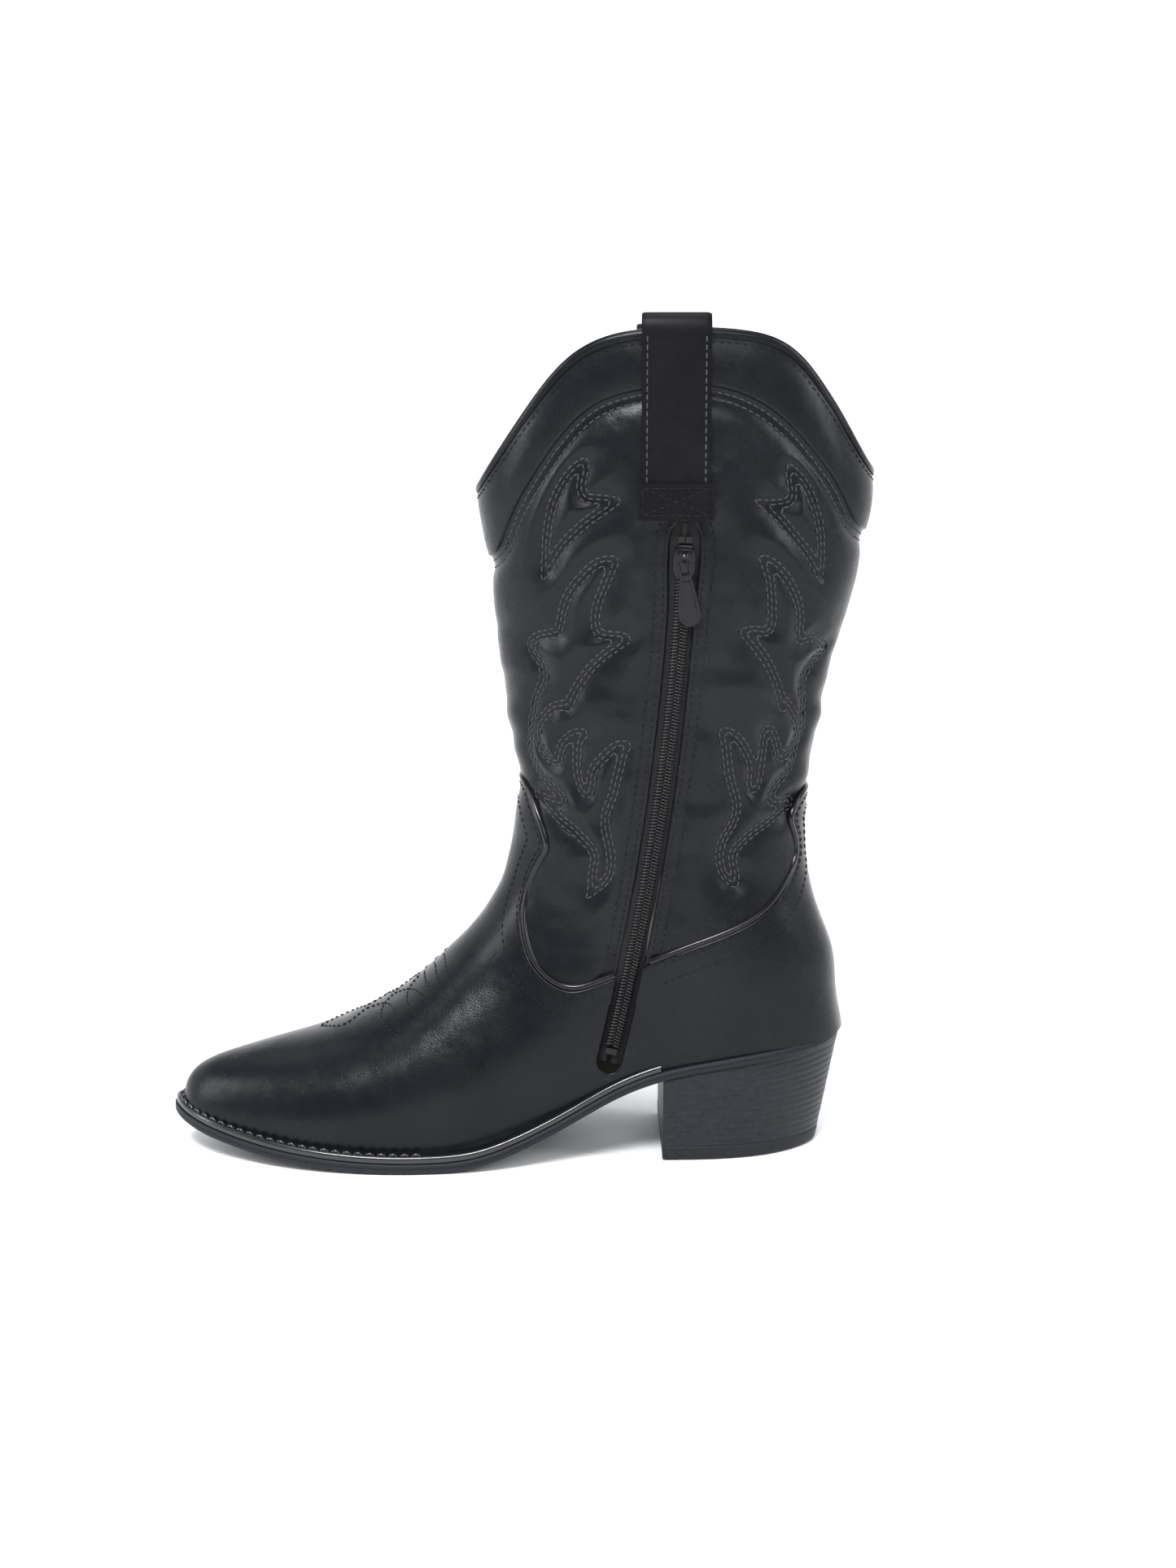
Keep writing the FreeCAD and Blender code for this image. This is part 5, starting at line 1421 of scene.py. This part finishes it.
half_end = PULLER_END_WIDE / 2
angle = np.radians(np.linspace(0, -180, 17))
tear = [(2.1, -3.6)] + [(2.5, -5.5), (3.1, -9), (3.7, -13)] \
    + [(math.cos(a) * half_end, -PULLER_LONG + half_end + math.sin(a) * half_end) for a in angle] \
    + [(-3.7, -13), (-3.1, -9), (-2.5, -5.5), (-2.1, -3.6)]
tear = stroke(tear, 0.8)
inner_tear = tear.mean(0) + (tear - tear.mean(0)) * [0.68, 0.8]
arms = [rounded_outline([(s - 0.42, -5.4), (s + 0.42, -5.4), (s + 0.42, 0.7), (s - 0.42, 0.7)], 0.3)
        for s in (-1.85, 1.85)]
bar = rounded_outline([(-2.25, -0.55), (2.25, -0.55), (2.25, 0.55), (-2.25, 0.55)], 0.3)
puller = mesh_object("zip_puller_tab", *merged([
    rounded_slab(puller_outline(tear), PULLER_AXIS_OUT - 0.3, PULLER_AXIS_OUT + 0.45, 0.25),
    rounded_slab(puller_outline(inner_tear), PULLER_AXIS_OUT, PULLER_AXIS_OUT + 0.75, 0.3),
    rounded_slab(puller_outline(bar), PULLER_AXIS_OUT - 0.5, PULLER_AXIS_OUT + 0.5, 0.25)]
    + [rounded_slab(puller_outline(a), PULLER_AXIS_OUT - 0.6, PULLER_AXIS_OUT + 0.6, 0.25)
       for a in arms]), METAL, body="puller")
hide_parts("zip_puller")


# ------------------------------------------------------------- sole and heel
def closed_curve(points, count):
    """Even places along the smooth closed curve through points."""
    points = np.asarray(points, float)
    wrap = np.concatenate([points[-5:], points, points[:5]])
    steps = np.linalg.norm(np.diff(wrap, axis=0), axis=1) ** 0.5
    t = np.concatenate([[0], np.cumsum(steps)])
    at = np.linspace(t[5], t[5 + len(points)], 2000)
    fine = natural(t, wrap, at)
    length = travelled(fine)
    even = np.linspace(0, length[-1], count, endpoint=False)
    return np.stack([np.interp(even, length, column) for column in fine.T], 1)


def smooth_height(line, x):
    line = np.asarray(line, float)
    t = travelled(line)
    fine = natural(t, line, np.linspace(0, t[-1], 900))
    return np.interp(x, fine[:, 0], fine[:, 1])


outline = closed_curve(SOLE_INNER + SOLE_OUTER, 720)
tangent = unit(np.roll(outline, -1, 0) - np.roll(outline, 1, 0))
outward = np.stack([tangent[:, 1], -tangent[:, 0]], 1)
if (outward * (outline - outline.mean(0))).sum() < 0:
    outward = -outward
grid_x = np.linspace(-139, 131, 400)
inner_y = np.interp(grid_x, *np.array(SOLE_INNER).T)
outer_y = np.interp(grid_x, *np.array(SOLE_OUTER[::-1]).T)


def spine(points):
    x = np.clip(points[:, 0], -128, 118)
    return np.stack([x, np.interp(x, grid_x, (inner_y + outer_y) / 2)], 1)


def slab(name, profile, base, shares_low, shares_high, material, keep=None):
    """A layer of the sole: an edge profile of inset and height, and flat faces."""
    rings = []
    low, high = profile[0], profile[-1]
    for share in shares_low:
        flat = outline - outward * low[0]
        flat = flat * (1 - share) + spine(outline) * share
        rings.append(np.column_stack([flat, smooth_height(base, flat[:, 0]) + low[1]]))
    for inset, height in profile:
        flat = outline - outward * inset
        rings.append(np.column_stack([flat, smooth_height(base, flat[:, 0]) + height]))
    for share in shares_high:
        flat = outline - outward * high[0]
        flat = flat * (1 - share) + spine(outline) * share
        rings.append(np.column_stack([flat, smooth_height(base, flat[:, 0]) + high[1]]))
    points = np.concatenate(rings)
    quads = strip_faces(len(rings), len(outline), wrap_cols=True)
    if keep is not None:
        quads = quads[keep(points[quads].mean(1))]
    return mesh_object(name, points, quads, material, sharp=50)


outsole = slab("outsole_leather",
               [(1.3, 0.0), (0.45, 0.25), (0.05, 0.8), (0.0, 1.5), (0.0, 2.0), (0.22, 2.15),
                (0.22, 2.3), (0.0, 2.45), (0.0, 3.5), (0.25, 3.85), (0.7, OUTSOLE_THICK)],
               UNDERSIDE, (0.999, 0.75, 0.5, 0.25, 0.08), (0.2, 0.6, 0.999), RUBBER)
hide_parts("outsole")
welt = slab("welt_strip",
            [(14, 0.1), (1.4, 0.1), (0.95, 0.15), (0.75, 0.5), (0.7, 1.2), (0.75, 2.2),
             (1.0, 2.75), (1.5, 2.98), (2.3, 3.05), (4.0, 3.1), (7.0, 3.25), (14, 3.3)],
            raised(UNDERSIDE, OUTSOLE_THICK), (), (), WELT,
            keep=lambda middle: middle[:, 0] < WELT_END)
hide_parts("welt")
ledge = outline - outward * 2.35
ledge = np.column_stack([ledge, smooth_height(raised(UNDERSIDE, OUTSOLE_THICK + 3.05), ledge[:, 0])])
ledge = np.concatenate([ledge, np.broadcast_to([0, 0, 1.0], ledge.shape)], 1)
ledge = np.roll(ledge, -int(np.argmax(ledge[:, 0])), 0)
thread_piece("welt_stitches", split_where(ledge, ledge[:, 0] < -36), 0.1, WELT, "thread",
             pitch=4.6, long=3.7, radius=0.62, sides=6)
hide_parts("welt_thread")


def heel_plan(z, count_side=36):
    """Outline of the heel at heights z, one for each of its points."""
    share = [(0.0, 1.0), (0.3, 0.97), (0.55, 0.87), (0.75, 0.68), (0.9, 0.42)]
    flat = [(f, -w) for f, w in share] + [(1.0, 0.0)] + [(f, w) for f, w in reversed(share)]
    t = travelled(flat)
    curve = natural(t, np.array(flat, float), np.linspace(0, t[-1], 2 * count_side))
    breast = np.stack([np.zeros(12), np.linspace(1, -1, 14)[1:-1]], 1)
    unit_plan = np.concatenate([curve, breast])
    t = np.clip(z / HEEL_TOP_Z, 0, 1.2)
    back = HEEL_BOTTOM_BACK + (HEEL_TOP_BACK - HEEL_BOTTOM_BACK) * t
    half = HEEL_BOTTOM_HALF + (HEEL_TOP_HALF - HEEL_BOTTOM_HALF) * t
    return unit_plan, back, half


def heel_ring(share, inset=0.0, low=None, high=None):
    """Ring of the heel at a share of its height, from the lift to under the sole."""
    unit_plan = heel_plan(np.zeros(1))[0]
    z = np.full(len(unit_plan), 20.0)
    for _ in range(6):
        _, back, half = heel_plan(z)
        x = HEEL_BREAST + (back - HEEL_BREAST) * unit_plan[:, 0]
        top = smooth_height(UNDERSIDE, x) - 0.05
        z = low + (top - low) * share if high is None else np.full(len(x), high)
    y = half * unit_plan[:, 1]
    middle = np.array([92.0, 0.0])
    flat = np.stack([x, y], 1)
    reach = np.linalg.norm(flat - middle, axis=1, keepdims=True)
    flat = middle + (flat - middle) * (1 - inset / reach)
    return np.column_stack([flat, z])


def stack_of_rings(name, rings, material, slot_name, *nodes):
    points = np.concatenate(rings)
    size = len(rings[0])
    caps = [np.arange(size)[None, :], (len(rings) - 1) * size + np.arange(size)[None, ::-1]]
    quads = strip_faces(len(rings), size, wrap_cols=True)[:, ::-1]
    obj = mesh_object(name, points, [quads] + caps, material, sharp=50)
    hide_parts(*nodes)


rings = []
layers = 14
for number in range(layers):
    base, step = number / layers, 1 / layers
    uneven = 0.05 * math.sin(number * 2.3)
    for share, inset in ((0.02, 0.16), (0.12, uneven * 0.5), (0.5, uneven), (0.88, uneven * 0.5),
                         (0.98, 0.16)):
        rings.append(heel_ring(base + step * share, inset + 0.05, low=TOP_LIFT + 0.1))
stack_of_rings("heel_stack", rings, STACK, "stacked_heel", "heel_block")
rings = [heel_ring(0, inset, high=height) for inset, height in
         ((1.0, 0.0), (0.3, 0.15), (0.0, 0.6), (-0.12, 2.0), (-0.12, 4.6), (0.0, 5.2), (0.35, TOP_LIFT))]
stack_of_rings("heel_lift", rings, RUBBER, "sole_rubber", "heel_top_lift")

# ------------------------------------------------------------------- the studio
floor_material, shader, place, add, link = nodes_of("studio_paper")
spots = add("TexNoise", Scale=6.0, Detail=3.0)
link(place, spots.inputs["Vector"])
paper = toned(add, link, spots.outputs[0], (0.80, 0.81, 0.825), (0.84, 0.845, 0.855), 0.0, 1.0)
# Painted shade: the backdrop behind the camera, towards -Y, is mixed to dark grey, so that the leather
# reflects dark there.
split = add("SeparateXYZ")
link(place, split.inputs[0])
painted_shade_behind_camera = add("MapRange")
for key, value in (("From Min", -1.2), ("From Max", -2.2), ("To Min", 0.0), ("To Max", 0.85)):
    painted_shade_behind_camera.inputs[key].default_value = value
link(split.outputs["Y"], painted_shade_behind_camera.inputs["Value"])
shade = add("MixRGB")
shade.inputs[2].default_value = (0.16, 0.165, 0.17, 1)
link(painted_shade_behind_camera.outputs[0], shade.inputs[0])
link(paper, shade.inputs[1])
link(shade.outputs[0], shader.inputs["Base Color"])
shader.inputs["Roughness"].default_value = 0.6
floor_line = [(0.0, -0.0005), (0.4, -0.0005), (0.9, -0.0005), (1.6, -0.0005), (2.2, 0.0),
              (2.45, 0.06), (2.6, 0.2), (2.68, 0.5), (2.7, 1.2), (2.7, 2.4)]
turns = 96
angle = np.arange(turns) * 2 * np.pi / turns
points = np.array([(math.cos(a) * r, math.sin(a) * r, h) for r, h in floor_line for a in angle])
backdrop = bpy.data.meshes.new("studio_backdrop")
backdrop.from_pydata(points.tolist(), [], strip_faces(len(floor_line), turns, wrap_cols=True).tolist())
backdrop.shade_smooth()
backdrop.materials.append(floor_material)
backdrop = bpy.data.objects.new("studio_backdrop", backdrop)
bpy.context.scene.collection.objects.link(backdrop)

world = bpy.data.worlds.new("studio_light")
bpy.context.scene.world = world
world.use_nodes = True
world.node_tree.nodes["Background"].inputs["Color"].default_value = (0.93, 0.96, 1.0, 1)
world.node_tree.nodes["Background"].inputs["Strength"].default_value = 0.22


def softbox(name, place, target, size, power, colour=(1, 1, 1)):
    lamp = bpy.data.lights.new(name, "AREA")
    lamp.shape = "RECTANGLE"
    lamp.size, lamp.size_y = size
    lamp.energy = power
    lamp.color = colour
    obj = bpy.data.objects.new(name, lamp)
    obj.location = place
    direction = Vector(target) - Vector(place)
    obj.rotation_euler = direction.to_track_quat("-Z", "Y").to_euler()
    bpy.context.scene.collection.objects.link(obj)


softbox("main_softbox", (-0.35, -1.25, 1.55), (0.0, 0.0, 0.17), (0.75, 0.45), 58)
softbox("front_softbox", (0.4, -1.5, 0.95), (0.0, 0.0, 0.2), (0.9, 0.6), 9)
softbox("top_softbox", (0.1, 0.15, 1.9), (0.0, 0.05, 0.0), (1.2, 0.8), 14)
softbox("left_strip", (-1.35, -0.35, 0.75), (0.0, 0.0, 0.15), (0.2, 0.9), 9)
softbox("right_strip", (1.25, -0.4, 0.85), (0.0, 0.0, 0.2), (0.2, 0.9), 8)
softbox("wall_wash_back", (0.0, 0.9, 1.6), (0.0, 2.7, 0.5), (2.4, 0.5), 30)
softbox("wall_wash_left", (-0.9, 0.3, 1.6), (-2.7, 0.3, 0.5), (0.5, 2.0), 12)
softbox("wall_wash_right", (0.9, 0.3, 1.6), (2.7, 0.3, 0.5), (0.5, 2.0), 12)

bpy.context.scene.view_settings.view_transform = "Standard"
camera = bpy.data.cameras.new("camera")
camera.lens = 47.64
camera.sensor_width = 36
camera.dof.use_dof = False
camera = bpy.data.objects.new("camera", camera)
camera.location = (0.029, -0.830, 0.289)
camera.rotation_euler = (math.radians(90 - 9.6), 0, 0)
bpy.context.scene.collection.objects.link(camera)
bpy.context.scene.camera = camera
